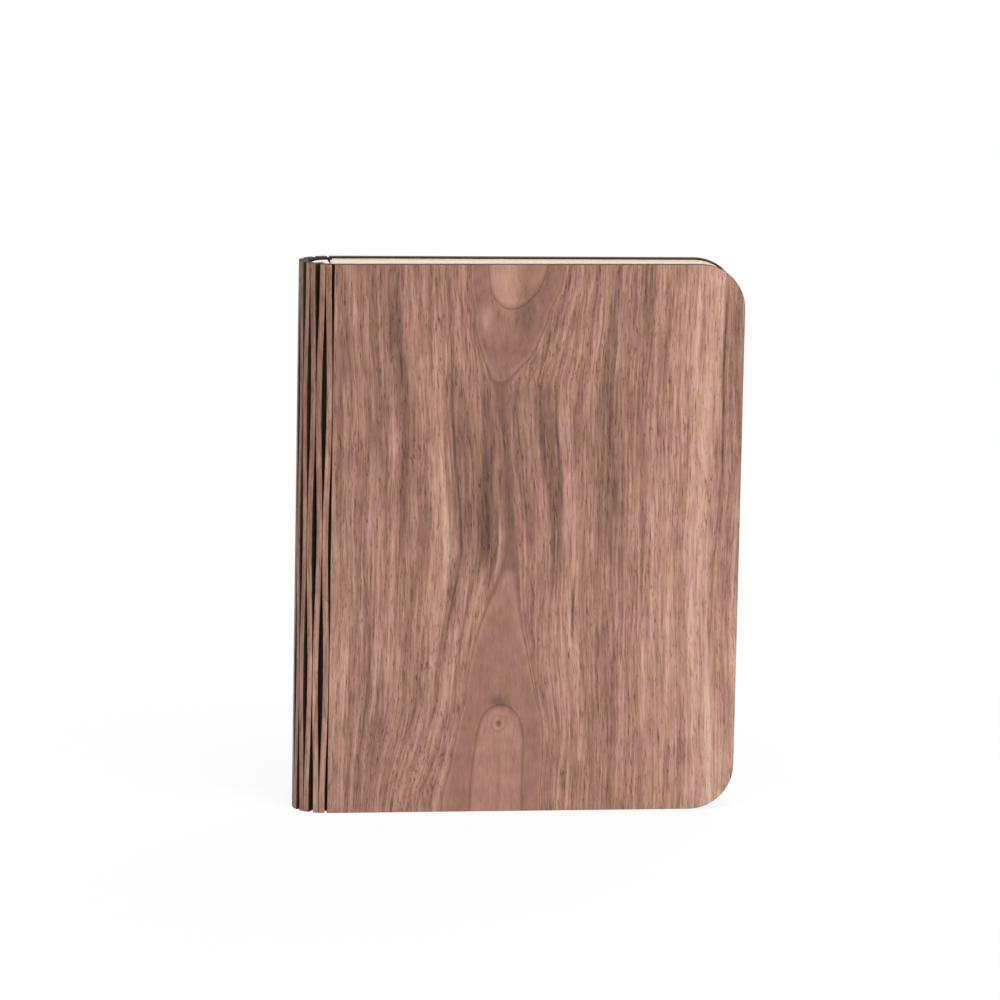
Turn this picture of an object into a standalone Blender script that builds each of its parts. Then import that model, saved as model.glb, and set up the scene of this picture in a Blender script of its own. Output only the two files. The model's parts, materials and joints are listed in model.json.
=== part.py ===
"""A folding book lamp, closed, as separate parts in metres.

+Z is up, the spine faces -X and the front cover faces -Y. The covers stand on Z zero.
The spine is a chain of wooden slats whose outer corners lie on an arc. Each slat turns
against its neighbour on the vertical line where their outer corners meet. Every slat
carries a strip of spine cloth and one pleat of the sheet concertina, and the lamp core
hangs on the spine's middle line.
"""

import math

import bmesh
import bpy
from mathutils import Matrix, Vector

# Book
BOOK_HEIGHT = 0.215
SPINE_RADIUS = 0.0125
COVER_LENGTH = 0.1596
COVER_TAPER = math.radians(1.486)
BOARD_THICKNESS = 0.003
CORNER_RADIUS = 0.0175
CORNER_STEPS = 8

# Slots of the spine
SLAT_COUNT = 12
SLOT_CLEARANCE = 0.0001
SLOT_RECESS = 0.00087
SLOT_WAVES = 2
SLOT_STEPS = 32

# Cloth, lining and the gaps between bonded sheets
BOND_GAP = 0.0002
CLOTH_THICKNESS = 0.0003
CLOTH_CLEARANCE = 0.0001
CLOTH_LAP = 0.010
CLOTH_MARGIN = 0.0005
LINING_THICKNESS = 0.0005
LINING_MARGIN = 0.0012
SEAT_GAP = 0.0003

# Pleats of the concertina
PLEAT_START = 0.0012
PLEAT_SETBACK = 0.0022
PLEAT_RECESS = 0.0012
PLEAT_GAP = 0.0003

# Lamp core
CORE_BACK = 0.0077
CORE_FRONT = 0.0006
CORE_HALF_WIDTH = 0.0086
CORE_RECESS = 0.001
CORE_STEPS = 24
HOUSING_WALL = 0.0007
CAP_THICKNESS = 0.002
CAP_PLUG = 0.0015
DIFFUSER_THICKNESS = 0.001
PAD_WIDTH = 0.003
PAD_MARGIN = 0.008

# Electric parts
LED_BOARD_THICKNESS = 0.001
LED_BOARD_SETBACK = 0.002
LED_COUNT = 16
LED_SIZE = (0.0007, 0.0028, 0.0035)
LED_END_MARGIN = 0.012
SOCKET_CENTRE = 0.004
SOCKET_SIZE = (0.0024, 0.0074, 0.0052)
SOCKET_WALL = 0.0003
SOCKET_CHAMFER = 0.0007
TONGUE_SIZE = (0.0005, 0.0046, 0.0036)
CONTROL_SIZE = (0.0006, 0.0072, 0.030)
BATTERY_SIZE = (0.002, 0.008, 0.110)
BATTERY_ROUNDING = 0.0006
SENSOR_SIZE = (0.0014, 0.003, 0.004)
SENSOR_DROP = 0.009
SENSOR_OFFSET = 0.0015
LEAD_RADIUS = 0.00035
LEAD_SPACING = 0.0018
LEAD_RUN = 0.012
LEAD_EASE_SHARE = 0.25
LEAD_STEPS = 8
LED_LEAD_DROP = 0.008
LED_LEAD_OFFSET = 0.0022

# Magnets
MAGNET_RADIUS = 0.004
MAGNET_THICKNESS = 0.002
MAGNET_EDGE_DISTANCE = 0.009
MAGNET_END_DISTANCE = 0.032
SENSOR_MAGNET_RADIUS = 0.002
SENSOR_MAGNET_THICKNESS = 0.0015
SENSOR_MAGNET_DISTANCE = 0.005
POCKET_STEPS = 24

# Cutters reach this far past what they cut, and points this near are made one
OVERRUN = 0.001
WELD_DISTANCE = 0.000001

# Angles and places that follow from the sizes
HALF_TAPER = COVER_TAPER / 2
SPINE_TURN = math.pi + COVER_TAPER
SLAT_TURN = SPINE_TURN / SLAT_COUNT
SLAT_LENGTH = 2 * SPINE_RADIUS * math.sin(SLAT_TURN / 2)
MIDDLE = SLAT_COUNT // 2
FORE_EDGE = SPINE_RADIUS * math.sin(HALF_TAPER) + COVER_LENGTH * math.cos(HALF_TAPER)
ARC_CENTRE = Vector(((SPINE_RADIUS - FORE_EDGE) / 2, 0, 0))
CLOTH_DEPTH = BOARD_THICKNESS + BOND_GAP
LINING_DEPTH = BOARD_THICKNESS + BOND_GAP
LINING_INNER = LINING_DEPTH + LINING_THICKNESS

# Colour, roughness and metallic value of each finish
FINISHES = {
    "walnut": ((0.33, 0.22, 0.165), 0.55, 0.0),
    "black_cloth": ((0.012, 0.012, 0.011), 0.9, 0.0),
    "cream_lining": ((0.80, 0.68, 0.53), 0.8, 0.0),
    "white_sheet": ((0.86, 0.76, 0.66), 0.75, 0.0),
    "cream_plastic": ((0.80, 0.70, 0.58), 0.45, 0.0),
    "frosted_plastic": ((0.90, 0.88, 0.82), 0.35, 0.0),
    "circuit_board": ((0.85, 0.85, 0.82), 0.4, 0.0),
    "green_board": ((0.02, 0.16, 0.07), 0.4, 0.0),
    "steel": ((0.62, 0.62, 0.60), 0.3, 1.0),
    "nickel": ((0.70, 0.69, 0.66), 0.25, 1.0),
    "silver_pouch": ((0.55, 0.56, 0.58), 0.4, 0.6),
    "black_plastic": ((0.02, 0.02, 0.02), 0.45, 0.0),
    "red_lead": ((0.50, 0.02, 0.02), 0.5, 0.0),
    "black_lead": ((0.015, 0.015, 0.015), 0.5, 0.0),
    "foam": ((0.04, 0.04, 0.04), 0.95, 0.0),
}


def clear_scene():
    """Removes every object of the scene."""
    for old in list(bpy.data.objects):
        bpy.data.objects.remove(old, do_unlink=True)


def new_collection(name):
    """A new collection in the scene."""
    collection = bpy.data.collections.new(name)
    bpy.context.scene.collection.children.link(collection)
    return collection


def make_materials():
    """One Principled material for each finish."""
    made = {}
    for name, (colour, roughness, metallic) in FINISHES.items():
        material = bpy.data.materials.new(name)
        material.use_nodes = True
        shader = material.node_tree.nodes["Principled BSDF"]
        shader.inputs["Base Color"].default_value = (*colour, 1)
        shader.inputs["Roughness"].default_value = roughness
        shader.inputs["Metallic"].default_value = metallic
        material.diffuse_color = (*colour, 1)
        made[name] = material
    return made


clear_scene()
PARTS = new_collection("folding_book_lamp")
CUTTERS = new_collection("cutters")
MATERIALS = make_materials()


def add_object(name, mesh, collection=PARTS):
    """A new object with that mesh, linked to a collection."""
    made = bpy.data.objects.new(name, mesh)
    collection.objects.link(made)
    return made


def finish(part, material, parent, place=None):
    """Gives a part its material, its parent and its place in the parent's space."""
    part.data.materials.append(MATERIALS[material])
    part.parent = parent
    if place is not None:
        part.matrix_basis = place
    return part


def extruded(points, low, high):
    """A mesh of a closed outline in X and Y, filled and extruded along Z from low to high."""
    curve = bpy.data.curves.new("outline", "CURVE")
    curve.dimensions = "2D"
    curve.fill_mode = "BOTH"
    curve.extrude = (high - low) / 2
    spline = curve.splines.new("POLY")
    spline.use_cyclic_u = True
    spline.points.add(len(points) - 1)
    for point, (x, y) in zip(spline.points, points, strict=True):
        point.co = (x, y, 0, 1)
    guide = add_object("outline", curve, CUTTERS)
    graph = bpy.context.evaluated_depsgraph_get()
    mesh = bpy.data.meshes.new_from_object(guide.evaluated_get(graph))
    bpy.data.objects.remove(guide)
    bpy.data.curves.remove(curve)
    faces = bmesh.new()
    faces.from_mesh(mesh)
    bmesh.ops.remove_doubles(faces, verts=faces.verts, dist=WELD_DISTANCE)
    faces.to_mesh(mesh)
    faces.free()
    mesh.transform(Matrix.Translation((0, 0, (high + low) / 2)))
    return mesh


def upright(points, outer, inner):
    """A mesh of an outline in X and Z, with its thickness along Y from outer to inner."""
    mesh = extruded(points, -inner, -outer)
    mesh.transform(Matrix.Rotation(math.pi / 2, 4, "X"))
    return mesh


def box(low, high):
    """A mesh of a box between two corners."""
    faces = bmesh.new()
    bmesh.ops.create_cube(faces, size=1)
    mesh = bpy.data.meshes.new("box")
    faces.to_mesh(mesh)
    faces.free()
    size = Vector(high) - Vector(low)
    centre = (Vector(high) + Vector(low)) / 2
    mesh.transform(Matrix.Translation(centre) @ Matrix.Diagonal((*size, 1)))
    return mesh


def disc(centre, radius, thickness, axis):
    """A mesh of a disc of that radius, whose thickness is centred on the given point."""
    faces = bmesh.new()
    bmesh.ops.create_cone(
        faces,
        cap_ends=True,
        segments=POCKET_STEPS,
        radius1=radius,
        radius2=radius,
        depth=thickness,
    )
    mesh = bpy.data.meshes.new("disc")
    faces.to_mesh(mesh)
    faces.free()
    turn = Vector((0, 0, 1)).rotation_difference(Vector(axis)).to_matrix().to_4x4()
    mesh.transform(Matrix.Translation(centre) @ turn)
    return mesh


def combine(part, tool_mesh, operation):
    """Cuts the tool from the part, or joins it on, with a Boolean that is then applied.

    The tool's mesh is in the part's own space.
    """
    tool = add_object("tool", tool_mesh, CUTTERS)
    tool.parent = part.parent
    tool.matrix_basis = part.matrix_basis
    tool.hide_render = True
    tool.display_type = "WIRE"
    modifier = part.modifiers.new("boolean", "BOOLEAN")
    modifier.operation = operation
    modifier.object = tool
    graph = bpy.context.evaluated_depsgraph_get()
    mesh = bpy.data.meshes.new_from_object(part.evaluated_get(graph))
    part.modifiers.clear()
    part.data = mesh
    bpy.data.objects.remove(tool)
    return part


def tube(name, points, radius, material, parent):
    """A round lead through those points, with filled ends."""
    curve = bpy.data.curves.new(name, "CURVE")
    curve.dimensions = "3D"
    curve.bevel_depth = radius
    curve.bevel_resolution = 1
    curve.use_fill_caps = True
    spline = curve.splines.new("POLY")
    spline.points.add(len(points) - 1)
    for point, place in zip(spline.points, points, strict=True):
        point.co = (*place, 1)
    lead = add_object(name, curve)
    return finish(lead, material, parent)


def spine_angle(corner):
    """The angle round the arc of a slat corner, from 0 at the front towards the back."""
    return corner * SLAT_TURN - HALF_TAPER


def spine_corner(corner):
    """Where a slat corner stands."""
    angle = spine_angle(corner)
    out = Vector((-math.sin(angle), -math.cos(angle), 0))
    return ARC_CENTRE + out * SPINE_RADIUS


def facing(angle):
    """A turn that puts local X along the spine towards the front and local Y inwards."""
    return Matrix.Rotation(-angle, 4, "Z")


def make_hinge(name, corner, parent):
    """An empty on the hinge line at a slat corner."""
    hinge = add_object(name, None)
    hinge.parent = parent
    base = parent.matrix_world.translation if parent else Vector()
    hinge.location = spine_corner(corner) - base
    bpy.context.view_layer.update()
    return hinge


def local(parent, place):
    """A place in the lamp's space as a place in the parent's."""
    return parent.matrix_world.inverted() @ place


def slot_recess(corner, height):
    """How far a slat's edge is cut back at that height. Even slots are open at both ends."""
    swing = math.cos(2 * math.pi * SLOT_WAVES * height / BOOK_HEIGHT)
    share = (1 + swing) / 2 if corner % 2 == 0 else (1 - swing) / 2
    return SLOT_CLEARANCE + SLOT_RECESS * share


def make_slat(number, parent):
    """One slat between two slots, narrowing inwards so that its sides are radial."""
    heights = [BOOK_HEIGHT * step / SLOT_STEPS for step in range(SLOT_STEPS + 1)]
    after = [(slot_recess(number, z), z) for z in heights]
    before = [(SLAT_LENGTH - slot_recess(number - 1, z), z) for z in reversed(heights)]
    mesh = upright(before + after, 0, BOARD_THICKNESS)
    narrowing = 2 * math.tan(SLAT_TURN / 2) / SLAT_LENGTH
    for vertex in mesh.vertices:
        middle = SLAT_LENGTH / 2
        width_share = 1 - vertex.co.y * narrowing
        vertex.co.x = middle + (vertex.co.x - middle) * width_share
    slat = add_object(f"spine_slat_{number:02d}", mesh)
    return finish(slat, "walnut", parent, slat_place(number, parent))


def slat_place(number, parent):
    """The place of what is bonded to a slat."""
    turn = facing(spine_angle(number - 1 / 2))
    return local(parent, Matrix.Translation(spine_corner(number)) @ turn)


def make_spine_cloth(number, parent):
    """The strip of spine cloth behind one slat, as wide as the slat is there."""
    inner = CLOTH_DEPTH + CLOTH_THICKNESS
    inset = inner * math.tan(SLAT_TURN / 2) + CLOTH_CLEARANCE
    low = (inset, CLOTH_DEPTH, CLOTH_MARGIN)
    high = (SLAT_LENGTH - inset, inner, BOOK_HEIGHT - CLOTH_MARGIN)
    cloth = add_object(f"spine_cloth_{number:02d}", box(low, high))
    return finish(cloth, "black_cloth", parent, slat_place(number, parent))


def rounded_outline(start, end, low, high, radius):
    """A rectangle in X and Z whose two corners at the far end are rounded."""
    quarter = math.pi / 2 / CORNER_STEPS
    points = [(start, low)]
    for step in range(CORNER_STEPS + 1):
        angle = step * quarter
        x = end - radius + radius * math.sin(angle)
        points.append((x, low + radius - radius * math.cos(angle)))
    for step in range(CORNER_STEPS + 1):
        angle = step * quarter
        x = end - radius + radius * math.cos(angle)
        points.append((x, high - radius + radius * math.sin(angle)))
    points.append((start, high))
    return points


def cover_sheet(side, start, end, margin, outer, inner):
    """A mesh of a sheet in a cover, from start to end along it, at that depth inwards.

    Side is 1 for the front cover and -1 for the back one, which runs the other way.
    """
    radius = CORNER_RADIUS - (COVER_LENGTH - end)
    points = rounded_outline(start, end, margin, BOOK_HEIGHT - margin, radius)
    if side < 0:
        points = [(-x, z) for x, z in reversed(points)]
    return upright(points, outer, inner)


def cover_point(side, along, depth, height):
    """A point in a cover's own space."""
    return Vector((side * along, depth, height))


def magnet_points(side):
    """The middles of a cover's two magnets."""
    along = COVER_LENGTH - MAGNET_EDGE_DISTANCE
    depth = BOARD_THICKNESS - MAGNET_THICKNESS / 2
    lower = cover_point(side, along, depth, MAGNET_END_DISTANCE)
    upper = cover_point(side, along, depth, BOOK_HEIGHT - MAGNET_END_DISTANCE)
    return {"lower": lower, "upper": upper}


def sensor_height():
    """The height of the sensor in the core and of its magnet."""
    return cap_bottom() - CAP_PLUG - SENSOR_DROP


def sensor_magnet_point():
    """The middle of the magnet that the core's sensor reads."""
    depth = BOARD_THICKNESS - SENSOR_MAGNET_THICKNESS / 2
    return cover_point(1, SENSOR_MAGNET_DISTANCE, depth, sensor_height())


def cut_pocket(board, centre, radius, thickness):
    """A round pocket from the board's inner face, with clearance round its magnet."""
    depth = thickness + SEAT_GAP
    middle = centre.copy()
    middle.y = BOARD_THICKNESS - depth / 2 + OVERRUN / 2
    across = Vector((0, 1, 0))
    combine(board, disc(middle, radius + SEAT_GAP, depth + OVERRUN, across), "DIFFERENCE")


def make_magnet(name, centre, radius, thickness, parent, place):
    """A disc magnet in its pocket."""
    across = Vector((0, 1, 0))
    magnet = add_object(name, disc(centre, radius, thickness, across))
    magnet.data.shade_smooth()
    magnet.data.set_sharp_from_angle(angle=math.radians(40))
    return finish(magnet, "nickel", parent, place)


def make_cover(word, side, corner, parent):
    """A cover with its board, cloth lap, lining and magnets."""
    turn = Matrix.Translation(spine_corner(corner)) @ facing(spine_angle(corner))
    place = local(parent, turn)
    mesh = cover_sheet(side, SLOT_CLEARANCE, COVER_LENGTH, 0, 0, BOARD_THICKNESS)
    board = add_object(f"{word}_cover_board", mesh)
    magnets = magnet_points(side)
    for centre in magnets.values():
        cut_pocket(board, centre, MAGNET_RADIUS, MAGNET_THICKNESS)
    if side > 0:
        centre = sensor_magnet_point()
        cut_pocket(board, centre, SENSOR_MAGNET_RADIUS, SENSOR_MAGNET_THICKNESS)
        sizes = (SENSOR_MAGNET_RADIUS, SENSOR_MAGNET_THICKNESS)
        make_magnet("sensor_magnet", centre, *sizes, parent, place)
    finish(board, "walnut", parent, place)
    for level, centre in magnets.items():
        name = f"{word}_magnet_{level}"
        make_magnet(name, centre, MAGNET_RADIUS, MAGNET_THICKNESS, parent, place)

    ends = sorted((side * CLOTH_CLEARANCE, side * CLOTH_LAP))
    low = (ends[0], CLOTH_DEPTH, CLOTH_MARGIN)
    high = (ends[1], CLOTH_DEPTH + CLOTH_THICKNESS, BOOK_HEIGHT - CLOTH_MARGIN)
    lap = add_object(f"{word}_cloth_lap", box(low, high))
    finish(lap, "black_cloth", parent, place)

    start = CLOTH_LAP + SEAT_GAP
    end = COVER_LENGTH - LINING_MARGIN
    mesh = cover_sheet(side, start, end, LINING_MARGIN, LINING_DEPTH, LINING_INNER)
    lining = add_object(f"{word}_lining", mesh)
    finish(lining, "cream_lining", parent, place)


def stack_half(x):
    """Half of the room between the linings at that X from the arc's centre."""
    start = spine_corner(0) - ARC_CENTRE
    lining = start.y + LINING_INNER / math.cos(HALF_TAPER)
    return -lining - (x - start.x) * math.tan(HALF_TAPER)


def make_pleat(number, parent):
    """One pleat of the concertina: a tall wedge that thins towards the fore-edge."""
    end = FORE_EDGE - PLEAT_SETBACK
    radius = CORNER_RADIUS - PLEAT_SETBACK
    low = PLEAT_RECESS
    high = BOOK_HEIGHT - PLEAT_RECESS
    points = rounded_outline(PLEAT_START, end, low, high, radius)
    mesh = upright(points, -PLEAT_GAP, PLEAT_GAP)
    for vertex in mesh.vertices:
        pitch = (2 * stack_half(vertex.co.x) - PLEAT_GAP) / SLAT_COUNT
        middle = (number - (SLAT_COUNT + 1) / 2) * pitch
        half = (pitch - PLEAT_GAP) / 2
        vertex.co.y = middle + math.copysign(half, vertex.co.y)
    pleat = add_object(f"sheet_pleat_{number:02d}", mesh)
    place = local(parent, Matrix.Translation(ARC_CENTRE))
    return finish(pleat, "white_sheet", parent, place)


def core_outline(inset):
    """The points of the core's half ellipse, open at its flat front, front side first."""
    depth = CORE_BACK - CORE_FRONT - inset
    width = CORE_HALF_WIDTH - inset
    angles = [math.pi / 2 + math.pi * n / CORE_STEPS for n in range(CORE_STEPS + 1)]
    return [(-CORE_FRONT + depth * math.cos(a), width * math.sin(a)) for a in angles]


def core_half_width(back, inset):
    """Half the core's width at that distance behind the arc's centre."""
    depth = CORE_BACK - CORE_FRONT - inset
    reach = (back - CORE_FRONT) / depth
    return (CORE_HALF_WIDTH - inset) * math.sqrt(1 - reach * reach)


def cap_bottom():
    """The height of the underside of the top cap's plate."""
    return BOOK_HEIGHT - CORE_RECESS - CAP_THICKNESS


def core_part(name, mesh, material, core):
    """A part of the core, placed on the arc's centre line."""
    part = add_object(name, mesh)
    return finish(part, material, core)


def make_housing(core):
    """The housing: a half ellipse shell, open at the front, between the two caps."""
    points = core_outline(0) + list(reversed(core_outline(HOUSING_WALL)))
    low = CORE_RECESS + CAP_THICKNESS + SEAT_GAP
    mesh = extruded(points, low, cap_bottom() - SEAT_GAP)
    return core_part("core_housing", mesh, "cream_plastic", core)


def make_caps(core):
    """The end caps, each a plate and a plug that fits in the housing."""
    plug_outline = plug_points(HOUSING_WALL + SEAT_GAP)
    overlap = CAP_THICKNESS / 2
    plate = extruded(core_outline(0), cap_bottom(), BOOK_HEIGHT - CORE_RECESS)
    top = core_part("core_top_cap", plate, "cream_plastic", core)
    neck = extruded(plug_outline, cap_bottom() - CAP_PLUG, cap_bottom() + overlap)
    combine(top, neck, "UNION")
    low = socket_bottom() - OVERRUN
    high = BOOK_HEIGHT - CORE_RECESS + OVERRUN
    combine(top, extruded(socket_outline(SEAT_GAP), low, high), "DIFFERENCE")
    floor = CORE_RECESS + CAP_THICKNESS
    plate = extruded(core_outline(0), CORE_RECESS, floor)
    bottom = core_part("core_bottom_cap", plate, "cream_plastic", core)
    combine(bottom, extruded(plug_outline, floor - overlap, floor + CAP_PLUG), "UNION")


def plug_points(inset):
    """A cap plug's outline: the core's, drawn in, and cut off square behind the diffuser."""
    front = -CORE_FRONT - DIFFUSER_THICKNESS - SEAT_GAP
    behind = [(x, y) for x, y in core_outline(inset) if x < front]
    half = core_half_width(-front, inset)
    return [(front, half), *behind, (front, -half)]


def make_diffuser(core):
    """The frosted strip between the housing's two front edges."""
    back = CORE_FRONT + DIFFUSER_THICKNESS
    half = core_half_width(back, HOUSING_WALL) - SEAT_GAP
    floor = CORE_RECESS + CAP_THICKNESS + SEAT_GAP
    low = (-back, -half, floor)
    high = (-CORE_FRONT, half, cap_bottom() - SEAT_GAP)
    return core_part("diffuser", box(low, high), "frosted_plastic", core)


def make_pad(core):
    """The adhesive pad between the housing and the spine cloth."""
    inner = SPINE_RADIUS * math.cos(SLAT_TURN / 2) - CLOTH_DEPTH - CLOTH_THICKNESS
    back = inner - PAD_WIDTH / 2 * math.sin(SLAT_TURN / 2) - SEAT_GAP
    low = (-back, -PAD_WIDTH / 2, CORE_RECESS + PAD_MARGIN)
    front = -CORE_BACK - BOND_GAP
    high = (front, PAD_WIDTH / 2, cap_bottom() - PAD_MARGIN)
    return core_part("core_pad", box(low, high), "foam", core)


def led_board_back():
    """How far behind the arc's centre the LED board's back lies."""
    return CORE_FRONT + LED_BOARD_SETBACK + LED_BOARD_THICKNESS


def make_led_board(core):
    """The LED board, with its row of LEDs facing the pleats."""
    back = led_board_back()
    half = core_half_width(back, HOUSING_WALL) - SEAT_GAP
    bottom = CORE_RECESS + CAP_THICKNESS + CAP_PLUG + SEAT_GAP
    top = socket_bottom() - SEAT_GAP
    front = -CORE_FRONT - LED_BOARD_SETBACK
    plate = box((-back, -half, bottom), (front, half, top))
    board = core_part("led_board", plate, "circuit_board", core)
    depth, width, height = LED_SIZE
    run = top - bottom - 2 * LED_END_MARGIN
    sunk = front - LED_BOARD_THICKNESS / 2
    for number in range(LED_COUNT):
        middle = bottom + LED_END_MARGIN + run * number / (LED_COUNT - 1)
        low = (sunk, -width / 2, middle - height / 2)
        high = (front + depth, width / 2, middle + height / 2)
        combine(board, box(low, high), "UNION")
    return board


def socket_outline(room):
    """The socket's outline seen from above: a slot with two chamfered corners at its front."""
    depth, width, _ = SOCKET_SIZE
    back = -SOCKET_CENTRE - depth / 2 - room
    front = -SOCKET_CENTRE + depth / 2 + room
    half = width / 2 + room
    cut = SOCKET_CHAMFER
    right = [(back, half), (back, -half), (front - cut, -half), (front, -half + cut)]
    return right + [(front, half - cut), (front - cut, half)]


def socket_bottom():
    """The height of the socket's underside."""
    return BOOK_HEIGHT - CORE_RECESS - SOCKET_SIZE[2]


def make_socket(core):
    """The charging socket: a thin metal shell with a tongue, open at the top."""
    bottom = socket_bottom()
    top = BOOK_HEIGHT - CORE_RECESS
    socket = core_part("usb_socket", extruded(socket_outline(0), bottom, top), "steel", core)
    mouth = extruded(socket_outline(-SOCKET_WALL), bottom + SOCKET_WALL, top + OVERRUN)
    combine(socket, mouth, "DIFFERENCE")
    depth, width, height = TONGUE_SIZE
    low = (-SOCKET_CENTRE - depth / 2, -width / 2, bottom + SOCKET_WALL / 2)
    high = (-SOCKET_CENTRE + depth / 2, width / 2, bottom + SOCKET_WALL + height)
    combine(socket, box(low, high), "UNION")
    return socket


def control_front():
    """How far behind the arc's centre the control board's front lies."""
    return SOCKET_CENTRE + SOCKET_SIZE[0] / 2 + SEAT_GAP


def control_bottom():
    """The height of the control board's lower edge."""
    return cap_bottom() - CAP_PLUG - SEAT_GAP - CONTROL_SIZE[2]


def make_control_board(core):
    """The control board behind the socket, with its sensor."""
    depth, width, height = CONTROL_SIZE
    front = -control_front()
    bottom = control_bottom()
    low = (front - depth, -width / 2, bottom)
    high = (front, width / 2, bottom + height)
    core_part("control_board", box(low, high), "green_board", core)
    depth, width, height = SENSOR_SIZE
    low = (front + BOND_GAP, -SENSOR_OFFSET - width / 2, sensor_height() - height / 2)
    high = tuple(a + b for a, b in zip(low, SENSOR_SIZE, strict=True))
    core_part("hall_sensor", box(low, high), "black_plastic", core)


def battery_top():
    """The height of the battery's upper end, below the leads."""
    return control_bottom() - LEAD_RUN


def make_battery(core):
    """The flat battery cell behind the LED board, with rounded edges."""
    depth, width, height = BATTERY_SIZE
    front = -led_board_back() - SEAT_GAP
    low = (front - depth, -width / 2, battery_top() - height)
    high = (front, width / 2, battery_top())
    cell = core_part("battery_cell", box(low, high), "silver_pouch", core)
    bevel = cell.modifiers.new("rounding", "BEVEL")
    bevel.width = BATTERY_ROUNDING
    bevel.segments = 2
    cell.data.shade_smooth()
    cell.data.set_sharp_from_angle(angle=math.radians(30))
    return cell


def smooth_run(start, end):
    """Points from start to end that run straight at both ends and ease over in between."""
    points = []
    for step in range(LEAD_STEPS + 1):
        share = step / LEAD_STEPS
        eased = min(1, max(0, (share - LEAD_EASE_SHARE) / (1 - 2 * LEAD_EASE_SHARE)))
        eased = eased * eased * (3 - 2 * eased)
        x = start[0] + (end[0] - start[0]) * eased
        y = start[1] + (end[1] - start[1]) * eased
        points.append((x, y, start[2] + (end[2] - start[2]) * share))
    return points


def make_leads(core):
    """The battery's two leads up to the control board, and the lead to the LED board."""
    battery_middle = -led_board_back() - SEAT_GAP - BATTERY_SIZE[0] / 2
    board_middle = -control_front() - CONTROL_SIZE[0] / 2
    for word, side in (("red", 1), ("black", -1)):
        y = side * LEAD_SPACING
        start = (battery_middle, y, battery_top() + SEAT_GAP)
        end = (board_middle, y, control_bottom() - SEAT_GAP)
        points = smooth_run(start, end)
        tube(f"battery_lead_{word}", points, LEAD_RADIUS, f"{word}_lead", core)
    clear = SEAT_GAP + LEAD_RADIUS
    start = (-led_board_back() - clear, LED_LEAD_OFFSET, control_bottom() - LED_LEAD_DROP)
    end = (-control_front() + clear, LED_LEAD_OFFSET, control_bottom() + LED_LEAD_DROP)
    tube("led_lead", smooth_run(start, end), LEAD_RADIUS, "black_lead", core)


def make_core():
    """The lamp core, whose space is centred on the arc."""
    core = add_object("core", None)
    core.location = ARC_CENTRE
    bpy.context.view_layer.update()
    make_housing(core)
    make_caps(core)
    make_diffuser(core)
    make_pad(core)
    make_led_board(core)
    make_socket(core)
    make_control_board(core)
    make_battery(core)
    make_leads(core)
    return core


def make_side(word, side, core):
    """Half of the spine, from the core's hinge out to one cover."""
    parent = core
    numbers = range(MIDDLE, 0, -1) if side > 0 else range(MIDDLE + 1, SLAT_COUNT + 1)
    for number in numbers:
        corner = number if side > 0 else number - 1
        parent = make_hinge(f"hinge_{number:02d}", corner, parent)
        make_slat(number, parent)
        make_spine_cloth(number, parent)
        make_pleat(number, parent)
    corner = 0 if side > 0 else SLAT_COUNT
    cover = make_hinge(f"{word}_cover_hinge", corner, parent)
    make_cover(word, side, corner, cover)


lamp_core = make_core()
make_side("front", 1, lamp_core)
make_side("back", -1, lamp_core)
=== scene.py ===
"""The looks of a folding book lamp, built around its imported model.

The lamp stands closed on the lower edges of its covers. One walnut board is cut by wavy
slots into two covers and a spine of slats, black cloth joins the slats from inside, and a
concertina of spun sheet and the lamp core fill the space between the covers. Lengths are
in metres, and the patterns of the finishes are worked out in millimetres.
"""

import json
import logging
import math
from collections.abc import Callable, Sequence
from dataclasses import dataclass, field
from enum import Enum
from typing import Union

import bmesh
import bpy
import numpy as np
from mathutils import Matrix, Vector

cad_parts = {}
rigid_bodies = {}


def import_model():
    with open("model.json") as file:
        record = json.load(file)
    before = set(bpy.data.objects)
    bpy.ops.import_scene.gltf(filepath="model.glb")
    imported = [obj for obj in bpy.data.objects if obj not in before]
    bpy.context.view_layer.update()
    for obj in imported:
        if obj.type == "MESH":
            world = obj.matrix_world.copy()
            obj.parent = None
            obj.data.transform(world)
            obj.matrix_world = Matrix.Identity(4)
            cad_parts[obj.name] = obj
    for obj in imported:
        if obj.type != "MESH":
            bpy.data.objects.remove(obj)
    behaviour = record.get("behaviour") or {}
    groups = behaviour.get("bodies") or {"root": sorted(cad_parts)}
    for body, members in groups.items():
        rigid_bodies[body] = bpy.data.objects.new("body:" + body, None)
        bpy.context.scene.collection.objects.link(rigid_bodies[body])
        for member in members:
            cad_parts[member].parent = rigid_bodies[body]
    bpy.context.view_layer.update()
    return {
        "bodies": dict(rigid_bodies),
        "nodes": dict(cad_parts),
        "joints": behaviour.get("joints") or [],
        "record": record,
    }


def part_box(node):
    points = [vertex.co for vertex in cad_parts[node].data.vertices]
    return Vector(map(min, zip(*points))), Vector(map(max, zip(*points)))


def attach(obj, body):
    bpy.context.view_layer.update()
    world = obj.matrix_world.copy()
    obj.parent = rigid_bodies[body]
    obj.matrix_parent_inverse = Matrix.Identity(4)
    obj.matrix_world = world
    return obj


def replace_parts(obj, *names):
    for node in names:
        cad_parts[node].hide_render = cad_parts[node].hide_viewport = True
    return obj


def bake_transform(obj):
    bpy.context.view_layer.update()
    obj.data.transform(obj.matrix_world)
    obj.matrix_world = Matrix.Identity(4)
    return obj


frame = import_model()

MM = 0.001
CHART = "veneer"
log = logging.getLogger("book_lamp")

Array = np.ndarray
Piece = bpy.types.Object
Socket = bpy.types.NodeSocket
Number = Union["Value", float]
Pair = tuple[float, float]
Triple = tuple[float, float, float]
Colour = tuple[float, float, float, float]
Loop = Callable[[float], Array]
Warp = Callable[[Array, Array, Array], Array]

WHITE = (1.0, 1.0, 1.0, 1.0)


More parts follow.
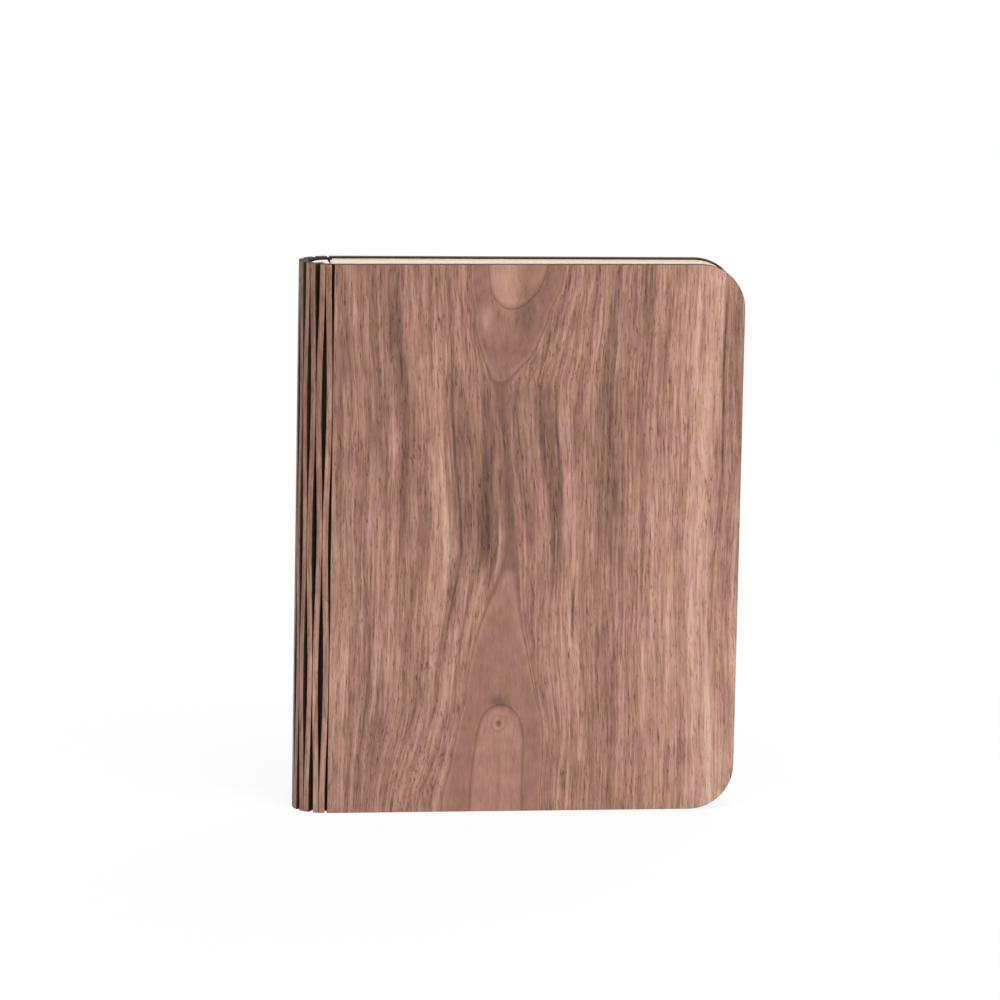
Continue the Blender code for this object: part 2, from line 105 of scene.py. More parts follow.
class Side(Enum):
    """The two covers, with the way that each runs along its own space."""

    FRONT = 1
    BACK = -1

    @property
    def word(self) -> str:
        """The side's word in the names of nodes and pieces."""
        return self.name.lower()


class Fold(Enum):
    """The two ends of a leaf of the concertina."""

    RIDGE = "ridge"
    VALLEY = "valley"


def linear(red: int, green: int, blue: int) -> Colour:
    """A screen colour of 0 to 255 as the linear colour that a shader takes.

    Args:
        red: The screen colour's red.
        green: Its green.
        blue: Its blue.

    Returns:
        The linear colour with an alpha of 1.
    """
    shares = np.array([red, green, blue]) / 255
    low = shares / 12.92
    high = ((shares + 0.055) / 1.055) ** 2.4
    return (*np.where(shares <= 0.04045, low, high).tolist(), 1.0)


class Value:
    """A number in a shader. Python's operators on it add Math nodes."""

    def __init__(self, sheet: "NodeSheet", socket: Socket) -> None:
        """Wraps a socket of one sheet of nodes."""
        self.sheet = sheet
        self.socket = socket

    def __add__(self, other: Number) -> "Value":
        """The sum."""
        return self.sheet.maths("ADD", self, other)

    def __radd__(self, other: float) -> "Value":
        """The sum with the number first."""
        return self.sheet.maths("ADD", other, self)

    def __sub__(self, other: Number) -> "Value":
        """The difference."""
        return self.sheet.maths("SUBTRACT", self, other)

    def __rsub__(self, other: float) -> "Value":
        """The difference with the number first."""
        return self.sheet.maths("SUBTRACT", other, self)

    def __mul__(self, other: Number) -> "Value":
        """The product."""
        return self.sheet.maths("MULTIPLY", self, other)

    def __rmul__(self, other: float) -> "Value":
        """The product with the number first."""
        return self.sheet.maths("MULTIPLY", other, self)

    def __truediv__(self, other: Number) -> "Value":
        """The quotient."""
        return self.sheet.maths("DIVIDE", self, other)

    def __rtruediv__(self, other: float) -> "Value":
        """The quotient with the number first."""
        return self.sheet.maths("DIVIDE", other, self)

    def __abs__(self) -> "Value":
        """The size of the number."""
        return self.sheet.maths("ABSOLUTE", self)

    def most(self, other: Number) -> "Value":
        """The larger of two numbers."""
        return self.sheet.maths("MAXIMUM", self, other)

    def root(self) -> "Value":
        """The square root."""
        return self.sheet.maths("SQRT", self)

    def sine(self) -> "Value":
        """The sine of the number as an angle in radians."""
        return self.sheet.maths("SINE", self)

    def sign(self) -> "Value":
        """1 above nought, and -1 below it."""
        return self.sheet.maths("SIGN", self)

    def rise(self, low: float, high: float, bottom: float = 0.0, top: float = 1.0) -> "Value":
        """A smooth step from bottom to top as the number goes from low to high.

        Args:
            low: Where the step starts.
            high: Where it ends.
            bottom: The result before the step.
            top: The result after it.

        Returns:
            The stepped number.
        """
        settings = {"interpolation_type": "SMOOTHSTEP", "clamp": True}
        inputs = {0: self, 1: low, 2: high, 3: bottom, 4: top}
        node = self.sheet.add("ShaderNodeMapRange", settings, inputs)
        return Value(self.sheet, node.outputs[0])

    def bump(self, middle: float, reach: float) -> "Value":
        """A smooth hump of height 1 round a middle, gone at that reach to each side."""
        return abs(self - middle).rise(0.0, reach, 1.0, 0.0)

    def curve(self, stops: Sequence[Pair]) -> "Value":
        """The number sent through a smooth curve of given stops between 0 and 1."""
        colours = [(place, (level, level, level, 1.0)) for place, level in stops]
        node = self.sheet.add("ShaderNodeValToRGB", {"stops": colours, "ease": "CARDINAL"}, {0: self})
        return Value(self.sheet, node.outputs[0])


class NodeSheet:
    """The nodes of one material or world."""

    def __init__(self, tree: bpy.types.NodeTree) -> None:
        """Starts from an empty node tree."""
        self.tree = tree
        self.tree.nodes.clear()

    def add(self, kind: str, settings: dict | None = None, inputs: dict | None = None) -> bpy.types.Node:
        """Adds one node, sets its settings first, then its sockets.

        Args:
            kind: The node's type.
            settings: Its settings by name, with stops and ease for a colour ramp.
            inputs: Values, links or sockets for its inputs, by name or number.

        Returns:
            The new node.
        """
        node = self.tree.nodes.new(kind)
        for name, setting in (settings or {}).items():
            if name == "stops":
                self._stops(node.color_ramp, setting)
            elif name == "ease":
                node.color_ramp.interpolation = setting
            else:
                setattr(node, name, setting)
        for key, given in (inputs or {}).items():
            socket = node.inputs[key]
            source = given.socket if isinstance(given, Value) else given
            if isinstance(source, Socket):
                self.tree.links.new(source, socket)
            else:
                socket.default_value = source
        return node

    def _stops(self, ramp: bpy.types.ColorRamp, stops: Sequence[tuple[float, tuple]]) -> None:
        """Puts the stops of a ramp in their places."""
        while len(ramp.elements) < len(stops):
            ramp.elements.new(1.0)
        for element, (place, colour) in zip(ramp.elements, stops, strict=True):
            element.position = place
            element.color = colour

    def maths(self, operation: str, *terms: Number) -> Value:
        """One Math node on those terms."""
        node = self.add("ShaderNodeMath", {"operation": operation}, dict(enumerate(terms)))
        return Value(self, node.outputs[0])

    def join(self, x: Number, y: Number, z: Number) -> Socket:
        """Three numbers as a vector."""
        return self.add("ShaderNodeCombineXYZ", None, {0: x, 1: y, 2: z}).outputs[0]

    def split(self, vector: Socket) -> tuple[Value, Value, Value]:
        """The three numbers of a vector in metres, in millimetres."""
        node = self.add("ShaderNodeSeparateXYZ", None, {0: vector})
        return tuple(Value(self, output) * (1 / MM) for output in node.outputs)

    def chart(self) -> tuple[Value, Value, Value]:
        """The piece's own pattern place in millimetres: along, up and inwards."""
        node = self.add("ShaderNodeAttribute", {"attribute_name": CHART})
        return self.split(node.outputs["Vector"])

    def place(self) -> tuple[Value, Value, Value]:
        """The place in the lamp's own space in millimetres."""
        node = self.add("ShaderNodeTexCoord")
        return self.split(node.outputs["Object"])

    def noise(
        self, at: tuple[Number, Number, Number], detail: float = 2.0, roughness: float = 0.5
    ) -> Value:
        """Smooth noise about 0, at most about 1 each way.

        Args:
            at: Where to read it, in widths of one blot of noise.
            detail: How many finer layers it has.
            roughness: How strong the finer layers are.

        Returns:
            The noise.
        """
        inputs = {"Vector": self.join(*at), "Scale": 1.0, "Detail": detail, "Roughness": roughness}
        node = self.add("ShaderNodeTexNoise", None, inputs)
        return (Value(self, node.outputs[0]) - 0.5) * 3.0

    def mix(
        self, share: Number, first: object, second: object, blend: str = "MIX"
    ) -> Socket:
        """A colour between two colours.

        Args:
            share: How much of the second one there is.
            first: A colour or a colour socket.
            second: A colour or a colour socket.
            blend: The way that they mix.

        Returns:
            The mixed colour's socket.
        """
        settings = {"data_type": "RGBA", "blend_type": blend, "clamp_factor": True}
        return self.add("ShaderNodeMix", settings, {0: share, 6: first, 7: second}).outputs[2]

    def ramp(self, value: Value, stops: Sequence[tuple[float, Colour]]) -> Socket:
        """A colour read from listed stops."""
        return self.add("ShaderNodeValToRGB", {"stops": stops, "ease": "LINEAR"}, {0: value}).outputs[0]

    def relief(self, height: Value, distance: float) -> Socket:
        """A Bump node's normal for a height of 0 to 1 over that distance."""
        inputs = {"Height": height, "Distance": distance, "Strength": 1.0}
        return self.add("ShaderNodeBump", None, inputs).outputs[0]


@dataclass(frozen=True)
class Finish:
    """What every finish shares: its name, and the constants of its shader."""

    name: str
    roughness: float = 0.5
    metallic: float = 0.0
    constants: tuple[tuple[str, object], ...] = ()

    def dress(self, sheet: NodeSheet) -> dict[str, object]:
        """The inputs of the shader that change over the surface."""
        raise NotImplementedError(self.name)

    def material(self) -> bpy.types.Material:
        """The finish's material, made once."""
        known = bpy.data.materials.get(self.name)
        if known is not None:
            return known
        material = bpy.data.materials.new(self.name)
        material.use_nodes = True
        sheet = NodeSheet(material.node_tree)
        inputs = {"Roughness": self.roughness, "Metallic": self.metallic, **dict(self.constants)}
        inputs.update(self.dress(sheet))
        shader = sheet.add("ShaderNodeBsdfPrincipled", None, inputs)
        sheet.add("ShaderNodeOutputMaterial", None, {"Surface": shader.outputs[0]})
        log.info("finish %s: %d nodes", self.name, len(sheet.tree.nodes))
        return material


WALNUT_TONES = (
    (0.0, linear(60, 45, 38)),
    (0.20, linear(96, 68, 56)),
    (0.40, linear(134, 96, 80)),
    (0.54, linear(160, 119, 101)),
    (0.72, linear(191, 150, 131)),
    (1.0, linear(226, 191, 171)),
)
SLICE_STOPS = (
    *((0.0, 6.6), (0.06, 7.0), (0.105, 7.6), (0.150, 8.8), (0.177, 10.4), (0.197, 12.4), (0.26, 14.6)),
    *((0.315, 16.3), (0.36, 17.5), (0.40, 18.2), (0.44, 18.62), (0.47, 18.8), (0.50, 18.9)),
    *((0.77, 18.9), (0.79, 18.6), (0.825, 16.9), (0.88, 13.6), (0.92, 12.4), (0.945, 9.6)),
    *((0.97, 7.5), (1.0, 5.6)),
)
LEAN_STOPS = (
    *((0.0, -0.5), (0.05, -0.3), (0.13, 0.6), (0.20, 1.0), (0.26, 0.4), (0.36, 0.8), (0.47, 3.2)),
    *((0.60, 1.0), (0.78, -1.2), (0.83, 1.2), (0.89, 2.4), (0.95, 4.0), (1.0, 5.0)),
)


@dataclass(frozen=True)
class Streak:
    """A long stain in the wood, in millimetres, with how much it lightens or darkens.

    It follows the rings, and its middle is where it crosses the board's middle height. A
    loose one doesn't follow them.
    """

    middle: float
    low: float
    high: float
    width: float
    tone: float
    loose: bool = False


@dataclass(frozen=True)
class Walnut(Finish):
    """Plain-sawn walnut. Its figure is worked out in millimetres on the unrolled board.

    The board is a slice beside the heart of a trunk. The distance from the heart at a place
    is the root of the square of the distance from the heart's line and the square of the
    slice's own distance from the heart, which changes with height. Equal distances are the
    growth rings, so they show as nested points where the slice comes near the heart and as
    upright stripes elsewhere. Short wavy pores lie over them.
    """

    heart: float = 66.0
    turned: bool = False
    seed: float = 0.0
    streaks: tuple[Streak, ...] = ()
    eye: Pair = (66.2, 35.0)
    inner_ring: float = 12.4
    outer_ring: float = 18.9
    deepest: float = 24.0
    widest_lean: float = 10.0
    board_height: float = 215.0

    def dress(self, sheet: NodeSheet) -> dict[str, object]:
        """Colour, roughness and normal of the wood."""
        along, up, _ = sheet.chart()
        height = self.board_height - up if self.turned else up
        tall = height / self.board_height

        def layer(x: Number, y: Number, key: float, detail: float, roughness: float = 0.5) -> Value:
            """One layer of noise of this piece of wood."""
            return sheet.noise((x, y, self.seed + key), detail, roughness)

        sway = layer(along / 34, height / 80, 1.7, 1.0) * 1.4
        shiver = layer(along / 5, height / 19, 4.1, 1.0) * 0.24
        low = height.rise(0.0, 62.0, 1.0, 0.0)
        flare = low * low * along.bump(self.heart - 36.0, 27.0) * 9.0
        x = along + sway + shiver + flare
        near = (along - self.heart).most(self.heart - along).rise(16.0, 44.0, 1.0, 0.0)
        aside = x - self.heart - self.lean(tall) * near
        depth = self.slice_distance(tall)
        square = aside * aside + depth * depth
        distance = square.root()
        straight = (square - self.outer_ring**2).most(0.0).root() * aside.sign() + self.heart
        inner = distance - self.inner_ring
        outer = distance - self.outer_ring
        between = tall.rise(0.485, 0.53) * tall.rise(0.745, 0.785, 0.75, 0.0)
        wild = outer.rise(-0.15, 0.5).most(between)

        grain = x * 0.45 + distance * aside.sign() * 0.55
        broad = layer(straight / 10, height / 260, 11.0, 1.0)
        middle = layer(straight / 2.9, height / 85, 21.0, 2.0, 0.6)
        fine = layer(grain / 1.3, height / 34, 31.0, 1.0, 0.5)
        plain = layer(grain / 0.8, height / 15 + along * 0.2, 35.0, 1.0, 0.5)
        scratch = layer(grain / 0.55, height / 8 + along * 0.4, 45.0, 1.0, 0.5)
        pore = layer(grain / 0.45, height / 3.6 + along * 0.9, 43.0, 1.0, 0.5)
        fibre = layer(along / 0.13, height / 9 + along, 47.0, 1.0)
        mottle = layer(along / 7, height / 9, 51.0, 3.0, 0.6)
        band = layer(straight / 2.2, height / 40, 61.0, 1.0)

        dotted = inner.rise(-0.1, 0.3) * inner.rise(0.6, 5.0, 1.0, 0.0) * tall.rise(0.5, 0.6)
        open_grain = (wild * (0.9 + band * 0.8) + dotted * 0.6).most(0.22)
        long_pores = (scratch - 0.18).rise(0.0, 0.30)
        pores = (pore - 0.34).rise(0.0, 0.22) * open_grain

        cloud = layer(along / 1.7, height / 6, 71.0, 2.0, 0.6)
        rough_grain = fine.rise(-0.35, 0.35, -0.05, 0.05) + plain.rise(-0.3, 0.3, -0.038, 0.038)
        rough_grain = rough_grain + fibre * 0.045 - long_pores * (0.12 + band * 0.06)
        smooth_grain = cloud * 0.05 + fibre * 0.06 - long_pores * 0.03
        # Painted light: the base tone is lighter towards the foot of the board, making up for lamp light
        # that falls off downwards.
        tone = tall.rise(0.3, 0.6, 0.578, 0.506) + mottle * 0.075
        tone = tone + wild * (broad * 0.12 + middle * 0.175 + rough_grain)
        tone = tone + (1.0 - wild) * smooth_grain + self.flame_light(inner, outer)
        tone = tone - self.line(inner) * 0.13 - self.line(outer) * 0.13 - pores * 0.21
        # The fore-edge lightening added here is painted light; the knot is the wood's own.
        tone = tone + self.side_light(along) + self.knot(x, height)
        for streak in self.streaks:
            tone = tone + self.stain(streak, x if streak.loose else straight, height)
        colour = sheet.ramp(tone, WALNUT_TONES)
        hue = layer(along / 4, height / 17, 91.0, 3.0, 0.6)
        olive, mauve = (0.985, 1.025, 0.90, 1.0), (1.015, 0.965, 1.07, 1.0)
        tint = sheet.mix((hue - wild * 0.1 + 0.25).rise(-0.9, 0.9), olive, mauve)
        colour = sheet.mix(1.0, colour, tint, "MULTIPLY")
        rough = 0.50 + pores * 0.25 - fine * 0.03
        relief = sheet.relief(0.6 - pores * 0.5 + fine * 0.05 + fibre * 0.08, 0.06 * MM)
        return {"Base Color": colour, "Roughness": rough, "Normal": relief}

    def slice_distance(self, tall: Value) -> Value:
        """How far the slice is from the heart, from the foot of the board to its head."""
        stops = [(place, distance / self.deepest) for place, distance in SLICE_STOPS]
        return tall.curve(stops) * self.deepest

    def lean(self, tall: Value) -> Value:
        """How far the heart's line leans to a side on its way up."""
        widest = self.widest_lean
        stops = [(place, (lean + widest) / (2 * widest)) for place, lean in LEAN_STOPS]
        return tall.curve(stops) * (2 * widest) - widest

    def line(self, past: Value) -> Value:
        """A thin dark line at a ring's border, sharp outside and soft inside."""
        return past.rise(-0.35, -0.02) * past.rise(0.0, 0.25, 1.0, 0.0)

    def flame_light(self, inner: Value, outer: Value) -> Value:
        """The smooth wood inside the two rings is lighter, most of all inside the inner one."""
        core = inner.rise(-1.2, -0.2, 1.0, 0.0)
        rim = outer.rise(-1.3, -0.4) * outer.rise(-0.4, -0.1, 1.0, 0.0)
        return core * 0.09 + rim * 0.06 - outer.rise(-0.6, 0.2, 0.07, 0.0)

    def knot(self, x: Value, height: Value) -> Value:
        """A small eye with one ring round it, and a smudge above it."""
        across = x - self.eye[0]
        above = height - self.eye[1]
        round_it = (across * across + above * above * 0.6).root()
        smudge = across.bump(0.0, 5.6) * above.bump(8.6, 3.6)
        return round_it.rise(0.3, 1.5, -0.26, 0.0) - round_it.bump(2.5, 0.7) * 0.07 - smudge * 0.17

    def side_light(self, along: Value) -> Value:
        """Painted light: the board is a little lighter towards its fore-edge, the side that gets more
        light.
        """
        return along.rise(104.0, 143.0) * 0.09

    def stain(self, streak: Streak, x: Value, height: Value) -> Value:
        """One streak's share of the tone."""
        middle = (streak.low + streak.high) / 2
        reach = (streak.high - streak.low) / 2
        return x.bump(streak.middle, streak.width) * height.bump(middle, reach) * streak.tone


@dataclass(frozen=True)
class CutEdge(Finish):
    """Laser-cut wood: a brown scorched face with darker ply lines and blots of soot."""

    ply: float = 1.0

    def dress(self, sheet: NodeSheet) -> dict[str, object]:
        """Colour and roughness of the scorched edge."""
        along, up, inwards = sheet.chart()
        soot = sheet.noise((along / 2.2, up / 2.6, 3.0), 3.0, 0.6)
        plies = (inwards * (2 * math.pi / self.ply)).sine() * 0.12
        tone = 0.5 + soot * 0.28 + plies
        stops = ((0.0, linear(24, 18, 14)), (0.5, linear(50, 36, 28)), (1.0, linear(92, 66, 50)))
        relief = sheet.relief(soot * 0.3 + 0.5, 0.05 * MM)
        return {"Base Color": sheet.ramp(tone, stops), "Roughness": 0.72 + soot * 0.08, "Normal": relief}


@dataclass(frozen=True)
class Woven(Finish):
    """Plain-woven black cloth with the same thread both ways."""

    thread: float = 0.42
    # Painted shade for the dips and painted highlight for the crossings of the one black thread.
    dark: Colour = linear(22, 22, 21)
    light: Colour = linear(56, 56, 52)

    def dress(self, sheet: NodeSheet) -> dict[str, object]:
        """Colour and relief of warp over weft. The colour is painted light and shade: lighter on the
        crossings, darker in the dips.
        """
        along, up, _ = sheet.chart()
        turn = math.pi / self.thread
        warp = (along * turn).sine()
        weft = (up * turn).sine()
        over = warp * weft * 0.5 + 0.5
        fuzz = sheet.noise((along / 0.3, up / 0.3, 5.0), 3.0, 0.6)
        # Painted light and shade: lighter where a thread crosses over, darker in the dips; the fuzz is the
        # cloth's own.
        tone = over * 0.7 + fuzz * 0.15 + 0.1
        colour = sheet.mix(tone.rise(0.0, 1.0), self.dark, self.light)
        return {"Base Color": colour, "Normal": sheet.relief(over + fuzz * 0.2, 0.12 * MM)}


@dataclass(frozen=True)
class SpunSheet(Finish):
    """Spun-bonded sheet: long fine fibres that swirl, paler where they cross."""

    pale: Colour = linear(255, 243, 234)
    warm: Colour = linear(250, 231, 218)

    def dress(self, sheet: NodeSheet) -> dict[str, object]:
        """Colour and relief of the swirled fibres."""
        along, up, leaf = sheet.chart()
        swirl = sheet.noise((along / 6, up / 6, leaf), 2.0) * 4.0
        fibres = sheet.noise(((along + swirl) / 0.8, (up - swirl) / 5.0, leaf), 3.0, 0.65)
        crossed = sheet.noise(((along - swirl) / 5.0, (up + swirl) / 0.8, leaf + 7), 3.0, 0.65)
        cloud = sheet.noise((along / 14, up / 14, leaf + 3), 3.0)
        tone = 0.5 + fibres * 0.2 + crossed * 0.2 + cloud * 0.16
        colour = sheet.mix(tone.rise(0.0, 1.0), self.warm, self.pale)
        relief = sheet.relief(0.5 + fibres * 0.25 + crossed * 0.25, 0.05 * MM)
        return {"Base Color": colour, "Normal": relief}


@dataclass(frozen=True)
class Moulded(Finish):
    """Moulded plastic or foam in one colour, with a fine spark-eroded grain and faint marks."""

    colour: Colour = linear(240, 224, 210)
    grain: float = 0.25
    depth: float = 0.02
    marks: float = 0.06

    def dress(self, sheet: NodeSheet) -> dict[str, object]:
        """Colour, roughness and relief of the moulded face."""
        x, y, z = sheet.place()
        grain = sheet.noise((x / self.grain, y / self.grain, z / self.grain), 2.0)
        cloud = sheet.noise((x / 9, y / 9, z / 14), 3.0)
        flow = sheet.noise((x / 2.5, y / 2.5, z / 30), 2.0)
        dark = tuple(c * (1 - self.marks * 2) for c in self.colour[:3]) + (1.0,)
        tone = 0.72 + cloud * 0.25 + flow * 0.12
        colour = sheet.mix(tone.rise(0.0, 1.0), dark, self.colour)
        rough = self.roughness + cloud * 0.05 + grain * 0.03
        relief = sheet.relief(grain * 0.3 + 0.5, self.depth * MM)
        return {"Base Color": colour, "Roughness": rough, "Normal": relief}


@dataclass(frozen=True)
class Plated(Finish):
    """Plated or drawn metal with fine brushing along its height and light handling marks."""

    metallic: float = 1.0
    colour: Colour = linear(205, 202, 196)
    dullest: float = 0.78

    def dress(self, sheet: NodeSheet) -> dict[str, object]:
        """Colour, roughness and relief of the plating."""
        x, y, z = sheet.place()
        brush = sheet.noise((x / 0.08, y / 0.08, z / 2.5), 2.0)
        cloud = sheet.noise((x / 2.2, y / 2.2, z / 2.2), 3.0)
        dull = tuple(c * self.dullest for c in self.colour[:3]) + (1.0,)
        colour = sheet.mix((0.6 + cloud * 0.5).rise(0.0, 1.0), dull, self.colour)
        rough = self.roughness + brush * 0.05 + cloud * 0.06
        relief = sheet.relief(brush * 0.3 + 0.5, 0.01 * MM)
        return {"Base Color": colour, "Roughness": rough, "Normal": relief}


@dataclass(frozen=True)
class Board(Finish):
    """A circuit board's lacquer over upright copper runs, which stop and start."""

    lacquer: Colour = linear(236, 236, 230)
    run: Colour = linear(214, 215, 205)
    pitch: float = 1.1

    def dress(self, sheet: NodeSheet) -> dict[str, object]:
        """Colour and relief of the lacquered board."""
        _, y, z = sheet.place()
        runs = abs((y * (math.pi / self.pitch)).sine()).rise(0.72, 0.8)
        breaks = sheet.noise((y / 1.4, z / 7.0, 2.0), 0.0).rise(-0.2, 0.0)
        copper = runs * breaks
        grain = sheet.noise((y / 0.3, z / 0.3, 6.0), 2.0)
        colour = sheet.mix(copper, self.lacquer, self.run)
        return {"Base Color": colour, "Normal": sheet.relief(copper * 0.8 + grain * 0.1, 0.03 * MM)}


FRONT_STREAKS = (
    (41, -60, 275, 5.6, 0.15), (46.7, 20, 235, 0.9, -0.20), (52, 40, 200, 5.5, -0.08),
    (47, 55, 125, 4.5, -0.08), (59.5, 92, 184, 5.8, -0.26, True), (60, 84, 130, 4.6, -0.26, True),
    (70, 100, 170, 5, -0.05, True), (27, 90, 255, 4.6, -0.16), (24.3, 140, 225, 1.3, -0.18),
    (30.5, 20, 120, 3, -0.08), (33.5, 100, 240, 2.6, 0.08), (10, 40, 190, 4, -0.05),
    (18.5, 120, 230, 1.6, -0.12), (3.5, 110, 225, 2, -0.06), (16, -20, 140, 4.5, -0.09),
    (92.6, 0, 235, 3.2, 0.10), (87.8, 100, 185, 1.2, -0.22), (81.5, 120, 185, 3.6, -0.09),
    (84.5, 50, 190, 5.4, -0.20), (76, 70, 180, 5, -0.06), (108, 104, 196, 1.7, -0.24),
    (105, 90, 235, 4, -0.08), (94.6, 62, 98, 1, -0.46, True), (98.5, -20, 120, 3.2, -0.08),
    (115, 10, 260, 5, 0.09), (121, 40, 230, 2.6, -0.08), (127.5, 130, 235, 2.4, -0.10),
    (141, -60, 275, 5, 0.15), (146, 60, 290, 4.4, 0.20), (147.5, -60, 120, 3.2, 0.16),
    (151.2, 100, 240, 0.9, -0.26), (156, 100, 270, 4.6, -0.11), (154, -60, 104, 5, 0.13),
    (95, 110, 190, 4, -0.09), (130, 110, 260, 6, -0.09), (8, 100, 260, 7, -0.05),
    (59.5, 184, 204, 4, 0.16, True), (74.5, 176, 224, 4.5, -0.10, True),
    (66.5, -12, 34, 1.6, -0.08, True), (33, -6, 10, 1.3, -0.22, True), (21, -14, 70, 6.5, -0.22, True),
    (66, 172, 250, 10, 0.13, True),
)
BACK_STREAKS = (
    (-128, 60, 150, 6, -0.18, True), (-96, -30, 245, 5, 0.14), (-90.6, 10, 235, 0.9, -0.20),
    (-70, 60, 235, 4, -0.12), (-77, 0, 165, 2.4, 0.08), (-146, 20, 235, 2.8, 0.15),
    (-150, 110, 200, 1.2, -0.24), (-163, 20, 175, 1.7, -0.26), (-176, -10, 245, 4.4, 0.12),
    (-188, 30, 235, 4, -0.10), (-56, -40, 190, 3.4, -0.07), (-48, 30, 255, 2.6, 0.07),
)
MATT = (("Specular IOR Level", 0.28),)
WALNUT_FRONT = Walnut(
    "walnut_front",
    heart=66.0,
    constants=MATT,
    streaks=tuple(Streak(*row) for row in FRONT_STREAKS),
)
WALNUT_BACK = Walnut(
    "walnut_back",
    heart=-122.0,
    turned=True,
    seed=140.0,
    eye=(-124.0, 18.0),
    constants=MATT,
    streaks=tuple(Streak(*row) for row in BACK_STREAKS),
)
SCORCHED = CutEdge("walnut_cut_edge", roughness=0.72, constants=MATT)
CLOTH = Woven("spine_cloth", roughness=0.9)
SHEET = SpunSheet("spun_sheet", roughness=0.78)
LINING = SpunSheet("lining_sheet", roughness=0.8, pale=linear(252, 235, 214), warm=linear(243, 222, 198))
CREAM = Moulded("core_plastic", roughness=0.55)
FROST = Moulded(
    "diffuser_frost",
    roughness=0.38,
    colour=linear(246, 243, 235),
    depth=0.01,
    marks=0.03,
    constants=(("Transmission Weight", 0.25), ("IOR", 1.49)),
)
FOAM = Moulded("pad_foam", roughness=0.95, colour=linear(48, 48, 47), grain=0.35, depth=0.15)
LED_BOARD = Board("led_board_lacquer", roughness=0.4)
GREEN_BOARD = Board(
    "control_board_lacquer", roughness=0.35, lacquer=linear(28, 104, 66), run=linear(44, 128, 82)
)
SENSOR = Moulded("sensor_resin", roughness=0.5, colour=linear(36, 36, 37), grain=0.15)
POUCH = Plated("battery_foil", roughness=0.38, metallic=0.7, colour=linear(188, 191, 196))
STEEL = Plated("socket_steel", roughness=0.42, colour=linear(222, 217, 209))
TONGUE = Moulded("socket_tongue", roughness=0.5, colour=linear(206, 202, 194), grain=0.1)
RESIN = Moulded("led_resin", roughness=0.42, colour=linear(243, 241, 232), grain=0.12)
PHOSPHOR = Moulded("led_phosphor", roughness=0.3, colour=linear(238, 214, 104), grain=0.1)
SOLDER = Plated("solder", roughness=0.34, colour=linear(196, 196, 194))
CERAMIC = Moulded("ceramic", roughness=0.45, colour=linear(168, 138, 108), grain=0.12)
TAPE = Moulded("amber_tape", roughness=0.3, colour=linear(186, 126, 44), grain=0.5)
NICKEL = Plated("magnet_nickel", roughness=0.22, colour=linear(214, 211, 204))
RED_LEAD = Moulded("lead_red", roughness=0.45, colour=linear(176, 30, 28), grain=0.4)
BLACK_LEAD = Moulded("lead_black", roughness=0.45, colour=linear(32, 32, 33), grain=0.4)


def triples(x: Array | float, y: Array | float, z: Array | float) -> Array:
    """Three grids of numbers as one grid of triples."""
    return np.stack(np.broadcast_arrays(x, y, z), axis=-1)


@dataclass(frozen=True)
class Space:
    """A local space on the lamp: along a board, inwards through it, and up."""

    origin: Pair
    angle: float = 0.0

    def world(self, along: Array, inwards: Array, up: Array) -> Array:
        """Places in the lamp's space.

        A place is the origin plus along times (cos a, -sin a) plus inwards times (sin a, cos a).

        Args:
            along: Distances along the board.
            inwards: Depths through it.
            up: Heights.

        Returns:
            A grid of triples.
        """
        cosine, sine = math.cos(self.angle), math.sin(self.angle)
        x = self.origin[0] + along * cosine + inwards * sine
        y = self.origin[1] - along * sine + inwards * cosine
        return triples(x, y, up)


